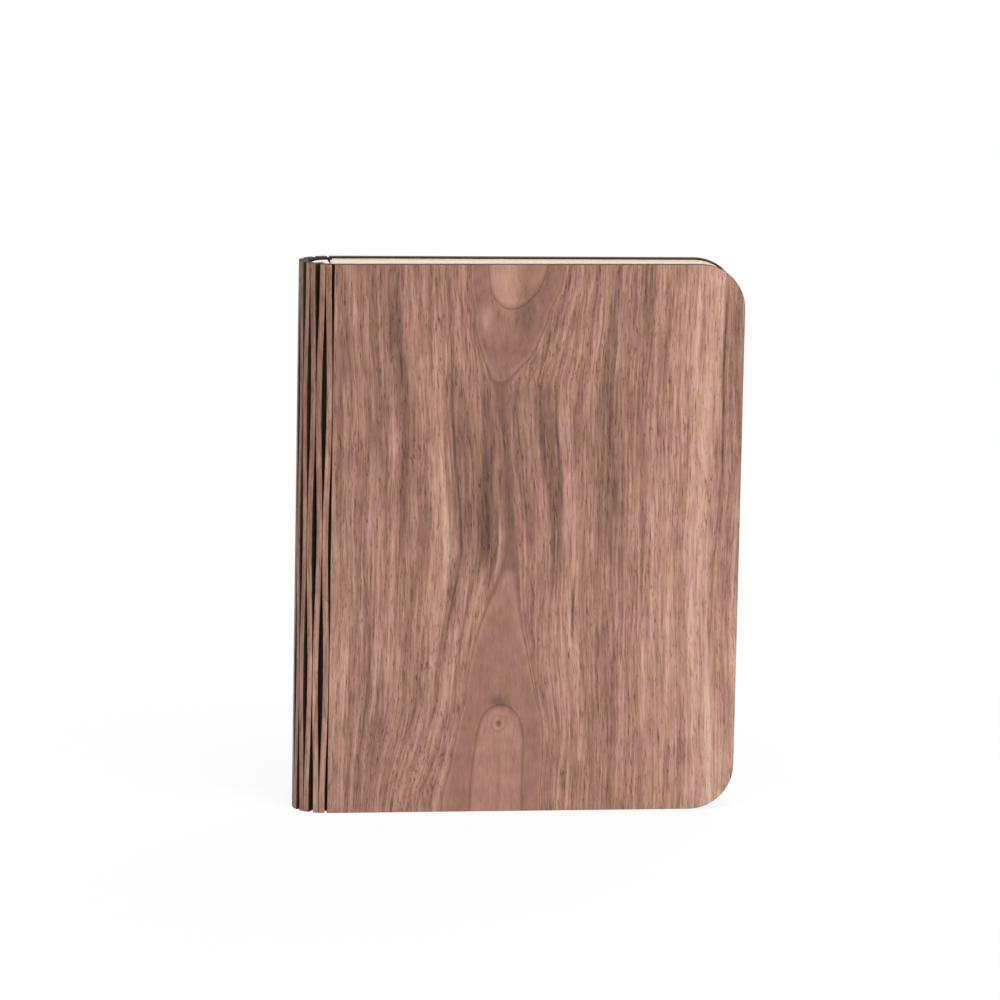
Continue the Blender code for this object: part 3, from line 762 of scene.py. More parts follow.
class Book:
    """The sizes of the closed book, read from the frame's hinge lines and boxes."""

    SLATS = 12
    MIDDLE = 6
    WAVES = 2
    CLEARANCE = 0.05 * MM
    RECESS = 0.92 * MM
    BOND = 0.2 * MM
    BOARD = 3.0 * MM

    def __init__(self, loaded: dict) -> None:
        """Reads the slat corners from the joints, and the arc that they lie on."""
        places = {joint["name"]: joint["pos_m"] for joint in loaded["joints"]}
        names = [f"spine_fold_{n:02d}" for n in range(self.SLATS + 1)]
        names[self.MIDDLE] += "_front"
        self.corners = np.array([places[name][:2] for name in names])
        first, centre, last = self.corners[0], self.corners[self.MIDDLE], self.corners[-1]
        half_chord = float(np.linalg.norm(first - last)) / 2
        bow = float((first[0] + last[0]) / 2 - centre[0])
        self.radius = (half_chord**2 + bow**2) / (2 * bow)
        self.core = Space((float(centre[0]) + self.radius, 0.0))
        out = self.corners - np.array(self.core.origin)
        self.angles = np.unwrap(np.arctan2(-out[:, 0], -out[:, 1]))
        self.turn = float(self.angles[1] - self.angles[0])
        self.slat = float(np.linalg.norm(self.corners[0] - self.corners[1]))
        low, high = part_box("front_cover_board")
        self.height = float(high.z - low.z)
        self.tilt = float(-self.angles[0])
        self.cover = float((high.x - self.corners[0][0]) / math.cos(self.tilt))

    def corner_space(self, corner: int) -> Space:
        """The space of a corner, along the line between its two slats or along a cover."""
        return Space(tuple(self.corners[corner]), float(self.angles[corner]))

    def slat_space(self, number: int) -> Space:
        """The space of a slat, from its corner further back."""
        angle = float(self.angles[number] + self.angles[number - 1]) / 2
        return Space(tuple(self.corners[number]), angle)

    def neighbours(self, corner: int, side: Side | None = None) -> tuple[str, str]:
        """The bodies before and behind a corner. At the middle one the core is one of them.

        Args:
            corner: The number of the corner.
            side: Which side of the middle corner is meant.

        Returns:
            The body before it and the body behind it.
        """
        before = "front_cover" if corner == 0 else f"slat_{corner:02d}"
        behind = "back_cover" if corner == self.SLATS else f"slat_{corner + 1:02d}"
        if corner == self.MIDDLE:
            return (before, "core") if side is Side.FRONT else ("core", behind)
        return before, behind

    def recess(self, corner: int, up: Array) -> Array:
        """How far a slat's edge is cut back at those heights.

        The cut is a clearance plus half a recess times one plus or minus the cosine of twice
        the board's height in turns, so even slots are open at both ends.

        Args:
            corner: The number of the slot.
            up: Heights.

        Returns:
            The depth of the cut at each height.
        """
        swing = np.cos(2 * math.pi * self.WAVES * up / self.height)
        share = (1 + swing) / 2 if corner % 2 == 0 else (1 - swing) / 2
        return self.CLEARANCE + self.RECESS * share


BOOK = Book(frame)


class Draft:
    """The points and faces of one piece, gathered before its mesh is made."""

    SHARP = math.radians(38.0)

    def __init__(self) -> None:
        """Starts with nothing."""
        self.places: list[Array] = []
        self.charts: list[Array] = []
        self.faces: list[tuple[Array, int, bool]] = []
        self.count = 0

    def points(self, places: Array, chart: Array | None = None) -> Array:
        """Adds points and gives their numbers in the same grid.

        Args:
            places: The places, as triples.
            chart: The pattern place of each, or nothing to use the places themselves.

        Returns:
            The numbers of the points.
        """
        shape = places.shape[:-1]
        numbers = np.arange(self.count, self.count + int(np.prod(shape))).reshape(shape)
        self.places.append(places.reshape(-1, 3))
        self.charts.append((places if chart is None else chart).reshape(-1, 3))
        self.count += numbers.size
        return numbers

    def skin(self, numbers: Array, finish: int = 0, smooth: bool = True, closed: bool = False) -> None:
        """Covers a grid of points with quads, one for each four neighbours.

        Args:
            numbers: The grid of point numbers.
            finish: Which of the piece's finishes the quads take.
            smooth: Whether they are shaded smooth.
            closed: Whether the last column meets the first one.
        """
        if closed:
            numbers = np.concatenate([numbers, numbers[:, :1]], axis=1)
        corners = (numbers[:-1, :-1], numbers[:-1, 1:], numbers[1:, 1:], numbers[1:, :-1])
        self.faces.append((np.stack(corners, axis=-1).reshape(-1, 4), finish, smooth))

    def lid(self, ring: Array, finish: int = 0) -> None:
        """Closes a flat ring of points with one face."""
        self.faces.append((ring.reshape(1, -1), finish, False))

    def slab(self, front: Array, back: Array) -> None:
        """Closes two grids of point numbers, which face each other, into one thin body."""
        edges = []
        for grid in (front, back):
            self.skin(grid)
            sides = (grid[0, :-1], grid[:-1, -1], grid[-1, :0:-1], grid[:0:-1, 0])
            edges.append(np.concatenate(sides))
        self.skin(np.stack(edges), closed=True)

    def make(self, name: str, finishes: Sequence[Finish]) -> Piece:
        """Makes the piece, with its faces turned outwards.

        Args:
            name: The piece's name.
            finishes: Its finishes, in the order of the faces' numbers.

        Returns:
            The new object, at the origin.
        """
        mesh = bpy.data.meshes.new(name)
        rows = [row for faces, _, _ in self.faces for row in faces.tolist()]
        mesh.from_pydata(np.concatenate(self.places).tolist(), [], rows)
        counts = [len(faces) for faces, _, _ in self.faces]
        mesh.polygons.foreach_set("material_index", np.repeat([f[1] for f in self.faces], counts))
        mesh.polygons.foreach_set("use_smooth", np.repeat([f[2] for f in self.faces], counts))
        write_chart(mesh, np.concatenate(self.charts))
        shell = bmesh.new()
        shell.from_mesh(mesh)
        bmesh.ops.recalc_face_normals(shell, faces=shell.faces)
        shell.to_mesh(mesh)
        shell.free()
        mesh.set_sharp_from_angle(angle=self.SHARP)
        for finish in finishes:
            mesh.materials.append(finish.material())
        made = bpy.data.objects.new(name, mesh)
        bpy.context.scene.collection.objects.link(made)
        return made


def write_chart(mesh: bpy.types.Mesh, places: Array) -> None:
    """Writes the pattern places of a mesh's points."""
    chart = mesh.attributes.get(CHART) or mesh.attributes.new(CHART, "FLOAT_VECTOR", "POINT")
    chart.data.foreach_set("vector", places.astype(np.float32).ravel())


def rounded_edge(low: float, high: float, radius: float, steps: int) -> tuple[Array, Array]:
    """The section of a rounded edge, from one face of a plate to the other.

    The inset is the radius times one less the sine, and the depth the radius times one less
    the cosine, of an angle that goes from 0 on the face to a right angle on the side.

    Args:
        low: The level of the first face.
        high: The level of the second face.
        radius: The radius of both roundings.
        steps: How many steps each rounding has.

    Returns:
        The insets and the levels of the rings of points.
    """
    angle = np.linspace(0, math.pi / 2, steps + 1)
    inset = radius * (1 - np.sin(angle))
    depth = radius * (1 - np.cos(angle))
    return np.concatenate([inset, inset[::-1]]), np.concatenate([low + depth, high - depth[::-1]])


def rounded_rows(low: float, high: float, end: float, radius: float) -> tuple[Array, Array]:
    """The heights of a sheet's rows and how far each row reaches, with two round corners.

    In a corner the height is the radius times one less the cosine of an angle, and the reach
    is drawn in by the radius times one less the sine.

    Args:
        low: The sheet's lowest height.
        high: Its highest.
        end: How far its straight part reaches.
        radius: The radius of its corners.

    Returns:
        The heights and the reaches.
    """
    angle = np.linspace(0, math.pi / 2, 11)
    rise = radius * (1 - np.cos(angle))
    pull = radius * (1 - np.sin(angle))
    between = np.linspace(low + radius, high - radius, 20)[1:-1]
    up = np.concatenate([low + rise, between, (high - rise)[::-1]])
    reach = np.concatenate([end - pull, np.full(between.shape, end), (end - pull)[::-1]])
    return up, reach


def plate(
    draft: Draft,
    loop: Loop,
    section: tuple[Array, Array],
    warp: Warp,
    chart: Warp | None = None,
    finishes: tuple[int, int, int] = (0, 0, 0),
) -> None:
    """Adds a closed plate: rings of a loop at each inset and level, and a lid on each end.

    Args:
        draft: What the plate is added to.
        loop: The outline's points for an inset.
        section: The insets and the levels of the rings.
        warp: Sends the outline's two numbers and the level to the lamp's space.
        chart: Sends them to the pattern's place, or nothing.
        finishes: The finishes of the first lid, of the side and of the last lid.
    """
    insets, levels = section
    rings = np.stack([loop(float(inset)) for inset in insets])
    grid = (rings[..., 0], rings[..., 1], np.broadcast_to(levels[:, None], rings.shape[:2]))
    numbers = draft.points(warp(*grid), None if chart is None else chart(*grid))
    draft.skin(numbers, finish=finishes[1], closed=True)
    draft.lid(numbers[0], finishes[0])
    draft.lid(numbers[-1], finishes[2])


def soft_rectangle(size: Sequence[float], radius: float, inset: float, steps: int = 6) -> Array:
    """A rectangle's outline round the origin, with round corners.

    A corner is its own middle plus the drawn-in radius times the cosine and sine of an
    angle, which goes on by a right angle from each corner to the next.

    Args:
        size: The rectangle's two sides.
        radius: The radius of its corners.
        inset: How far the outline is drawn in.
        steps: How many steps each corner has.

    Returns:
        The outline's points.
    """
    reach = max(radius - inset, 0.01 * MM)
    halves = np.array(size) / 2 - inset - reach
    angle = np.linspace(0, math.pi / 2, steps + 1)
    around = (np.arange(4)[:, None] * math.pi / 2 + angle).ravel()
    signs = np.repeat([[1, 1], [-1, 1], [-1, -1], [1, -1]], steps + 1, axis=0)
    return signs * halves + reach * np.stack([np.cos(around), np.sin(around)], -1)


def block(
    draft: Draft,
    low: Sequence[float],
    high: Sequence[float],
    radius: float,
    rounding: float,
    finish: int = 0,
) -> None:
    """Adds a block that faces forwards, with round corners and softened edges.

    Args:
        draft: What the block is added to.
        low: Its lowest corner.
        high: Its highest corner.
        radius: The radius of its corners, seen from the front.
        rounding: The radius of its front and back edges.
        finish: Which of the piece's finishes it takes.
    """
    size = np.array(high) - np.array(low)
    middle = np.array(low) + size / 2
    plate(
        draft,
        lambda inset: soft_rectangle(size[1:], radius, inset, 3) + middle[1:],
        rounded_edge(low[0], high[0], rounding, 2),
        lambda across, up, level: triples(level, across, up),
        None,
        (finish, finish, finish),
    )


def carve(piece: Piece, tool: Draft, operation: str = "DIFFERENCE") -> None:
    """Cuts a tool's shape out of a piece, or joins it on, and applies the result.

    Args:
        piece: The piece.
        tool: The tool's points and faces.
        operation: The kind of Boolean.
    """
    cutter = tool.make("cutter", [])
    modifier = piece.modifiers.new("cut", "BOOLEAN")
    modifier.operation = operation
    modifier.object = cutter
    graph = bpy.context.evaluated_depsgraph_get()
    mesh = bpy.data.meshes.new_from_object(piece.evaluated_get(graph))
    piece.modifiers.clear()
    piece.data = mesh
    bpy.data.objects.remove(cutter)


def board_chart(base: float, way: float = 1.0) -> Warp:
    """The pattern place on the unrolled board of a piece that starts at that base."""
    return lambda along, up, inwards: triples(base + way * along, up, inwards)


def settle(piece: Piece, body: str, slot: str, *nodes: str) -> Piece:
    """Seats a rigid piece on its body, in place of the nodes that it stands for.

    Args:
        piece: The piece.
        body: The body that it rides on.
        slot: The record's material slot; not used.
        nodes: The CAD nodes that it replaces.

    Returns:
        The same piece.
    """
    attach(piece, body)
    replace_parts(piece, *nodes)
    log.info("%s: %d faces on %s", piece.name, len(piece.data.polygons), body)
    return piece


@dataclass
class Cover:
    """One cover: its walnut board and its lining. The magnets stay as the frame's nodes."""

    side: Side
    corner_radius: float = 17.5 * MM
    corner_steps: int = 24
    edge_rounding: float = 0.12 * MM
    scorch: float = 1.0 * MM
    lining_margin: float = 0.68 * MM
    lining_start: float = 1.0 * MM
    lining_depth_in_pattern: float = 40.0 * MM
    lining_columns: int = 40
    lap: float = 10.0 * MM
    lap_rise: float = 0.3 * MM
    lap_slope: float = 1.6 * MM
    sheet: float = 0.17 * MM
    pocket_room: float = 0.3 * MM
    pocket_steps: int = 48
    magnet: Pair = (4.0 * MM, 2.0 * MM)
    magnet_setback: float = 9.0 * MM
    magnet_heights: Pair = (32.0 * MM, 183.0 * MM)
    small_magnet: Pair = (2.0 * MM, 1.5 * MM)
    small_magnet_place: Pair = (5.0 * MM, 201.5 * MM)

    def __post_init__(self) -> None:
        """Finds the cover's body, its corner and where it starts on the unrolled board."""
        corner = 0 if self.side is Side.FRONT else BOOK.SLATS
        self.body = f"{self.side.word}_cover"
        self.space = BOOK.corner_space(corner)
        self.base = -corner * BOOK.slat

    def loop(self, inset: float) -> Array:
        """The board's outline, as along and up: square at the spine, round at the fore-edge.

        Each round corner is the middle of its arc plus the radius less the inset times the
        cosine and sine of an angle.

        Args:
            inset: How far the loop is drawn in.

        Returns:
            The loop's points.
        """
        radius, start = self.corner_radius, BOOK.CLEARANCE + inset
        angle = np.linspace(-math.pi / 2, 0, self.corner_steps + 1)
        reach = radius - inset
        along = BOOK.cover - radius + reach * np.cos(angle)
        lower = np.stack([along, radius + reach * np.sin(angle)], -1)
        upper = lower[::-1] * [1, -1] + [0, BOOK.height]
        return np.concatenate([[[start, inset]], lower, upper, [[start, BOOK.height - inset]]])

    def warp(self, along: Array, up: Array, inwards: Array) -> Array:
        """Sends along, up and inwards to the lamp's space."""
        return self.space.world(self.side.value * along, inwards, up)

    def board(self) -> None:
        """The walnut board, with a dark rim round its inner face that is partly real scorch and partly
        painted shade, and pockets for its magnets.
        """
        draft = Draft()
        insets, levels = rounded_edge(0.0, BOOK.BOARD, self.edge_rounding, 4)
        # The side's scorched finish runs onto the inner face as a rim this wide: real scorch at the cut,
        # and painted shade on the thin strip seen above the lining.
        section = (np.append(insets, self.scorch), np.append(levels, BOOK.BOARD))
        chart = board_chart(self.base, self.side.value)
        plate(draft, self.loop, section, self.warp, chart, (0, 1, 0))
        face = WALNUT_FRONT if self.side is Side.FRONT else WALNUT_BACK
        board = draft.make(self.body, [face, SCORCHED])
        along = BOOK.cover - self.magnet_setback
        for up in self.magnet_heights:
            self.pocket(board, (along, up), self.magnet)
        if self.side is Side.FRONT:
            self.pocket(board, self.small_magnet_place, self.small_magnet)
        self.rechart(board.data)
        settle(board, self.body, "walnut", f"{self.body}_board")

    def pocket(self, board: Piece, middle: Pair, magnet: Pair) -> None:
        """Cuts a round pocket into the inner face.

        Args:
            board: The board.
            middle: The pocket's middle, along and up.
            magnet: The radius and the thickness of its magnet.
        """
        radius, depth = (size + self.pocket_room for size in magnet)
        turn = np.linspace(0, 2 * math.pi, self.pocket_steps, endpoint=False)
        circle = radius * np.stack([np.cos(turn), np.sin(turn)], -1) + middle
        levels = np.array([BOOK.BOARD - depth, BOOK.BOARD + MM])
        tool = Draft()
        plate(tool, lambda inset: circle, (np.zeros(2), levels), self.warp, None, (1, 1, 1))
        carve(board, tool)

    def rechart(self, mesh: bpy.types.Mesh) -> None:
        """Works the pattern places of the carved board out again from its points.

        A place's distance along is its offset from the cover's origin times (cos a, -sin a),
        and its depth the offset times (sin a, cos a).
        """
        points = np.empty(len(mesh.vertices) * 3, np.float32)
        mesh.vertices.foreach_get("co", points)
        offset = points.reshape(-1, 3) - [*self.space.origin, 0.0]
        cosine, sine = math.cos(self.space.angle), math.sin(self.space.angle)
        along = offset[:, 0] * cosine - offset[:, 1] * sine
        inwards = offset[:, 0] * sine + offset[:, 1] * cosine
        write_chart(mesh, triples(self.base + along, offset[:, 2], inwards))

    def lining(self) -> None:
        """The lining sheet, which steps over the edge of the cloth lap beneath it.

        Its depth falls by the lap's rise in a smooth step just past the lap's end.
        """
        margin, start = self.lining_margin, self.lining_start
        share = np.linspace(0, 1, self.lining_columns) ** 2
        end = BOOK.cover - margin
        up, reach = rounded_rows(margin, BOOK.height - margin, end, self.corner_radius - margin)
        up = up[:, None]
        along = start + (reach[:, None] - start) * share
        ease = np.clip((along - self.lap) / self.lap_slope, 0, 1)
        drop = self.lap_rise * ease * ease * (3 - 2 * ease)
        top = BOOK.BOARD + BOOK.BOND + self.lap_rise + self.sheet - drop
        chart = triples(along, up, self.lining_depth_in_pattern)
        draft = Draft()
        draft.slab(*(draft.points(self.warp(along, up, top - d), chart) for d in (0.0, self.sheet)))
        lining = draft.make(f"{self.side.word}_lining_sheet", [LINING])
        settle(lining, self.body, "lining", f"{self.side.word}_lining")

    def build(self) -> None:
        """Builds the whole cover."""
        self.board()
        self.lining()


@dataclass
class Slat:
    """One wavy slat of the spine."""

    number: int
    steps: int = 128
    edge_rounding: float = 0.08 * MM

    def loop(self, inset: float) -> Array:
        """The slat's outline: a wavy edge on each side, straight across head and foot.

        Args:
            inset: How far the loop is drawn in.

        Returns:
            The loop's points, as along and up.
        """
        up = np.linspace(inset, BOOK.height - inset, self.steps + 1)
        behind = BOOK.recess(self.number, up) + inset
        before = BOOK.slat - BOOK.recess(self.number - 1, up) - inset
        return np.concatenate([np.stack([before, up], -1), np.stack([behind, up], -1)[::-1]])

    def warp(self, along: Array, up: Array, inwards: Array) -> Array:
        """Sends places to the lamp's space, drawn together inwards, so its sides are radial.

        Args:
            along: Distances along the slat.
            up: Heights.
            inwards: Depths.

        Returns:
            The places.
        """
        narrowing = 2 * math.tan(BOOK.turn / 2) / BOOK.slat
        middle = BOOK.slat / 2
        drawn = middle + (along - middle) * (1 - inwards * narrowing)
        return BOOK.slat_space(self.number).world(drawn, inwards, up)

    def build(self) -> None:
        """Builds the slat."""
        draft = Draft()
        section = rounded_edge(0.0, BOOK.BOARD, self.edge_rounding, 2)
        chart = board_chart(-self.number * BOOK.slat)
        plate(draft, self.loop, section, self.warp, chart, (0, 1, 0))
        face = WALNUT_FRONT if self.number <= BOOK.MIDDLE else WALNUT_BACK
        body = f"slat_{self.number:02d}"
        settle(draft.make(f"{body}_wood", [face, SCORCHED]), body, "walnut", f"spine_{body}")


@dataclass
class SpineCloth:
    """The black cloth that joins the slats, in one strip across each corner."""

    thickness: float = 0.3 * MM
    margin: float = 0.15 * MM
    lap: float = 10.0 * MM
    give: float = 0.3 * MM
    softness: float = 0.25 * MM
    bend: float = 0.3
    lap_bend: float = 0.06
    lap_columns: int = 9
    columns: int = 18
    rows: int = 9

    def path(self, corner: int, depth: float, share: Array) -> tuple[Array, Array]:
        """The cloth's line in the corner's own space at that depth below the outer face.

        Past the corner the line runs along the inner face of each slat, so its depth is the
        depth over the cosine of half a turn plus the distance times its tangent, with the
        point at the corner eased by a small hyperbola.

        Args:
            corner: The number of the corner.
            depth: The cloth's depth.
            share: Places from -1, behind the corner, to 1, before it.

        Returns:
            Distances along and inwards in the corner's space.
        """
        half = BOOK.turn / 2
        slat_reach = BOOK.slat / 2 * math.cos(half) - depth * math.sin(half)
        before = self.lap if corner == 0 else slat_reach
        behind = self.lap if corner == BOOK.SLATS else slat_reach
        along = np.where(share > 0, share * before, share * behind)
        eased = np.sqrt(along**2 + self.softness**2) - self.softness
        on_cover = along > 0 if corner == 0 else (along < 0) & (corner == BOOK.SLATS)
        slope = np.where(on_cover, 0.0, math.tan(half))
        return along, depth / math.cos(half) + eased * slope

    def strip(self, corner: int, name: str, shares: Array, side: Side | None = None) -> Piece:
        """One strip of cloth across a corner, which bends over a short stretch there.

        Args:
            corner: The number of the corner.
            name: The piece's name.
            shares: The columns' places from -1 to 1.
            side: The side of the middle corner that the strip is on.

        Returns:
            The strip.
        """
        space = BOOK.corner_space(corner)
        up = np.linspace(self.margin, BOOK.height - self.margin, self.rows)[:, None]
        outer = BOOK.BOARD + BOOK.BOND
        draft = Draft()
        faces = []
        for depth in (outer, outer + self.thickness):
            along, inwards = self.path(corner, depth, shares)
            chart = triples(-corner * BOOK.slat + along, up, 0.0)
            faces.append(draft.points(space.world(along, inwards, up), chart))
        draft.slab(*faces)
        strip = draft.make(name, [CLOTH])
        low = 0.0 if side is Side.FRONT else -self.give
        high = 0.0 if side is Side.BACK else self.give
        depth = outer / math.cos(BOOK.turn / 2)
        start, end = (tuple(space.world(np.array(x), depth, 0.0)) for x in (low, high))
        before, behind = BOOK.neighbours(corner, side)
        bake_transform(strip)
        log.info("%s bends between %s and %s", name, behind, before)
        return strip

    def build(self) -> None:
        """Builds every strip and puts it in the place of the plain cloth."""
        bent = np.linspace(-self.bend, self.bend, self.columns)[1:-1]
        flat = np.linspace(self.bend, 1, 5)
        shares = np.concatenate([-flat[::-1], bent, flat])
        for corner in range(BOOK.SLATS + 1):
            name = f"cloth_fold_{corner:02d}"
            nodes = [f"spine_cloth_{n:02d}" for n in (corner, corner + 1) if 1 <= n <= BOOK.SLATS]
            if corner == BOOK.MIDDLE:
                for side, node in zip((Side.BACK, Side.FRONT), nodes[::-1], strict=True):
                    half = shares[shares * side.value >= 0.0]
                    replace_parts(self.strip(corner, f"{name}_{side.word}", half, side), node)
            elif corner in (0, BOOK.SLATS):
                self.lapped(corner, name, nodes)
            else:
                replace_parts(self.strip(corner, name, shares), *nodes)

    def lapped(self, corner: int, name: str, nodes: list[str]) -> None:
        """A strip that also laps onto a cover.

        Args:
            corner: The number of the corner.
            name: The piece's name.
            nodes: The slats' nodes that it replaces.
        """
        steps = ((-1, 0), (0, self.lap_bend), (self.lap_bend, 1))
        shares = np.concatenate([np.linspace(low, high, self.lap_columns) for low, high in steps])
        shares = np.delete(shares, [self.lap_columns, 2 * self.lap_columns])
        side = Side.FRONT if corner == 0 else Side.BACK
        strip = self.strip(corner, name, shares if side is Side.FRONT else -shares[::-1])
        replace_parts(strip, *nodes, f"{side.word}_cloth_lap")


@dataclass
class Concertina:
    """The folded sheet: 24 leaves between ridges at the fore-edge and valleys at the core."""

    valley: float = 0.4 * MM
    beside_core: Pair = (1.5 * MM, 1.2 * MM)
    setback: float = 2.2 * MM
    recess: float = 1.2 * MM
    gap: float = 0.3 * MM
    sheet: float = 0.16 * MM
    press: float = 0.04 * MM
    ripple: float = 0.05 * MM
    uneven: float = 0.12 * MM
    columns: int = 36
    crowding: float = 1.5
    nose_rows: int = 13
    nose_columns: int = 9
    spread: float = 60.0 * MM
    end_spread: float = 36.0 * MM
    lining_depth: float = 3.7 * MM
    waves: Pair = (21.0 * MM, 33.0 * MM)
    wave_shift: float = 1.7
    pattern_step: float = 3.0 * MM
    seed: int = 7
    jitter: Array = field(init=False)

    def __post_init__(self) -> None:
        """Draws how uneven the leaves' heads are, from a fixed seed."""
        numbers = np.random.default_rng(self.seed)
        self.jitter = numbers.uniform(-1, 1, (2 * BOOK.SLATS + 2, 3))

    @property
    def off(self) -> float:
        """How far the middle of a leaf lies from the plane of its fold."""
        return self.sheet / 2 + self.press

    @property
    def shells(self) -> Pair:
        """How far a leaf's two faces lie from its middle."""
        return (-self.sheet / 2, self.sheet / 2)

    @property
    def reach(self) -> float:
        """How far the ridges reach from the arc's centre."""
        fore_edge = BOOK.radius * math.sin(BOOK.tilt) + BOOK.cover * math.cos(BOOK.tilt)
        return fore_edge - self.setback

    def start(self, valley: int) -> float:
        """How far a valley lies from the arc's centre: further where it swings past the core."""
        away = abs(valley - BOOK.MIDDLE)
        return self.beside_core[away - 1] if away in (1, 2) else self.valley

    def half_room(self, x: Array) -> Array:
        """Half of the room between the linings at that distance from the arc's centre.

        It falls from the room at the spine by the distance times the tangent of the tilt.

        Args:
            x: Distances from the arc's centre.

        Returns:
            Half of the room at each.
        """
        start = BOOK.corners[0] - np.array(BOOK.core.origin)
        lining = start[1] + self.lining_depth / math.cos(BOOK.tilt)
        return -lining - (x - start[0]) * math.tan(BOOK.tilt)

    def pitch(self, x: Array) -> Array:
        """The room of one pleat at that distance."""
        return (2 * self.half_room(x) - self.gap) / BOOK.SLATS

    def leaf(self, valley: int, side: Side) -> Piece:
        """One leaf between a valley and a ridge.

        A row of the leaf goes from the valley to the ridge. Its place across the stack is
        the pitch times the fold's number, which changes by a half on the way, with half a
        sheet's thickness off each fold's plane and a faint ripple in between.

        Args:
            valley: The number of its valley, from 0 at the front cover.
            side: FRONT for the leaf before the valley's plane, and BACK for the one behind.

        Returns:
            The leaf, which rides on nothing yet.
        """
        way = -side.value
        index = 2 * valley + (way + 1) // 2
        lift = self.jitter[index] * self.uneven
        low, high = self.recess + abs(lift[0]), BOOK.height - self.recess + lift[1]
        end = self.reach - self.off - self.sheet / 2
        radius = Cover.corner_radius - self.setback
        up, reach = rounded_rows(low, high, end, radius)
        up = up[:, None]
        share = np.linspace(0, 1, self.columns) ** self.crowding
        start = self.start(valley)
        x = start + (reach[:, None] - start) * share
        away = (x - start) / (end - start)
        level = valley - BOOK.MIDDLE + way * 0.5 * away
        middle = self.pitch(x) * level + way * self.off * (1 - 2 * away)
        wave = np.sin(x / self.waves[0] + index)
        wave = wave * np.sin(up / self.waves[1] + self.wave_shift * index)
        middle = middle + self.ripple * wave * np.clip(4 * away * (1 - away), 0, 1)
        chart = triples(x, up, index * self.pattern_step)
        draft = Draft()
        draft.slab(*(draft.points(BOOK.core.world(x, middle + d, up), chart) for d in self.shells))
        if way < 0:
            straight = (low + radius, high - radius)
            self.nose(draft, Fold.RIDGE, valley, straight, index)
            if valley < BOOK.SLATS:
                self.nose(draft, Fold.VALLEY, valley, (low, high), index)
        return draft.make(f"leaf_{valley:02d}_{side.word}", [SHEET])

    def nose(self, draft: Draft, fold: Fold, valley: int, ends: Pair, index: int) -> None:
        """Adds the sheet's round turn at a fold: half a tube round the fold's own line.

        Args:
            draft: The leaf that it is added to.
            fold: Which of the leaf's ends it is at.
            valley: The number of the leaf's valley.
            ends: Its lowest and highest height.
            index: The leaf's number in the pattern.
        """
        at_ridge = fold is Fold.RIDGE
        x = self.reach - self.off - self.sheet / 2 if at_ridge else self.start(valley)
        number = valley - BOOK.MIDDLE - (0.5 if at_ridge else 0.0)
        y = float(self.pitch(np.array(x))) * number
        angle = np.linspace(-math.pi / 2, math.pi / 2, self.nose_columns)
        forwards = 1.0 if at_ridge else -1.0
        up = np.linspace(*ends, self.nose_rows)[:, None]
        grids = []
        for half in self.shells:
            around = x + forwards * (self.off + half) * np.cos(angle)
            across = y + (self.off + half) * np.sin(angle)
            chart = triples(around, up, index * self.pattern_step)
            grids.append(draft.points(BOOK.core.world(around, across, up), chart))
        draft.slab(*grids)

    def hang(self, leaf: Piece, valley: int, side: Side) -> None:
        """Bakes a leaf's place into its points and puts it in place of the frame's pleat node.

        Args:
            leaf: The leaf.
            valley: The number of its valley.
            side: Which side of the valley it is on.
        """
        bodies = BOOK.neighbours(valley, side)
        half_turn = valley in (0, BOOK.MIDDLE, BOOK.SLATS)
        run = self.end_spread if half_turn else self.spread
        fold = BOOK.core.origin[0] + self.start(valley)
        ends = (fold + run, fold if half_turn else fold - run)[:: side.value]
        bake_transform(leaf)
        number = valley if side is Side.FRONT else valley + 1
        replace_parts(leaf, f"sheet_pleat_{number:02d}")
        width = self.reach - self.start(valley)
        height = BOOK.height - 2 * self.recess
        log.info("%s bends between %s and %s", leaf.name, *bodies)

    def build(self) -> None:
        """Builds all the leaves."""
        for valley in range(BOOK.SLATS + 1):
            for side, last in ((Side.FRONT, 0), (Side.BACK, BOOK.SLATS)):
                if valley != last:
                    self.hang(self.leaf(valley, side), valley, side)


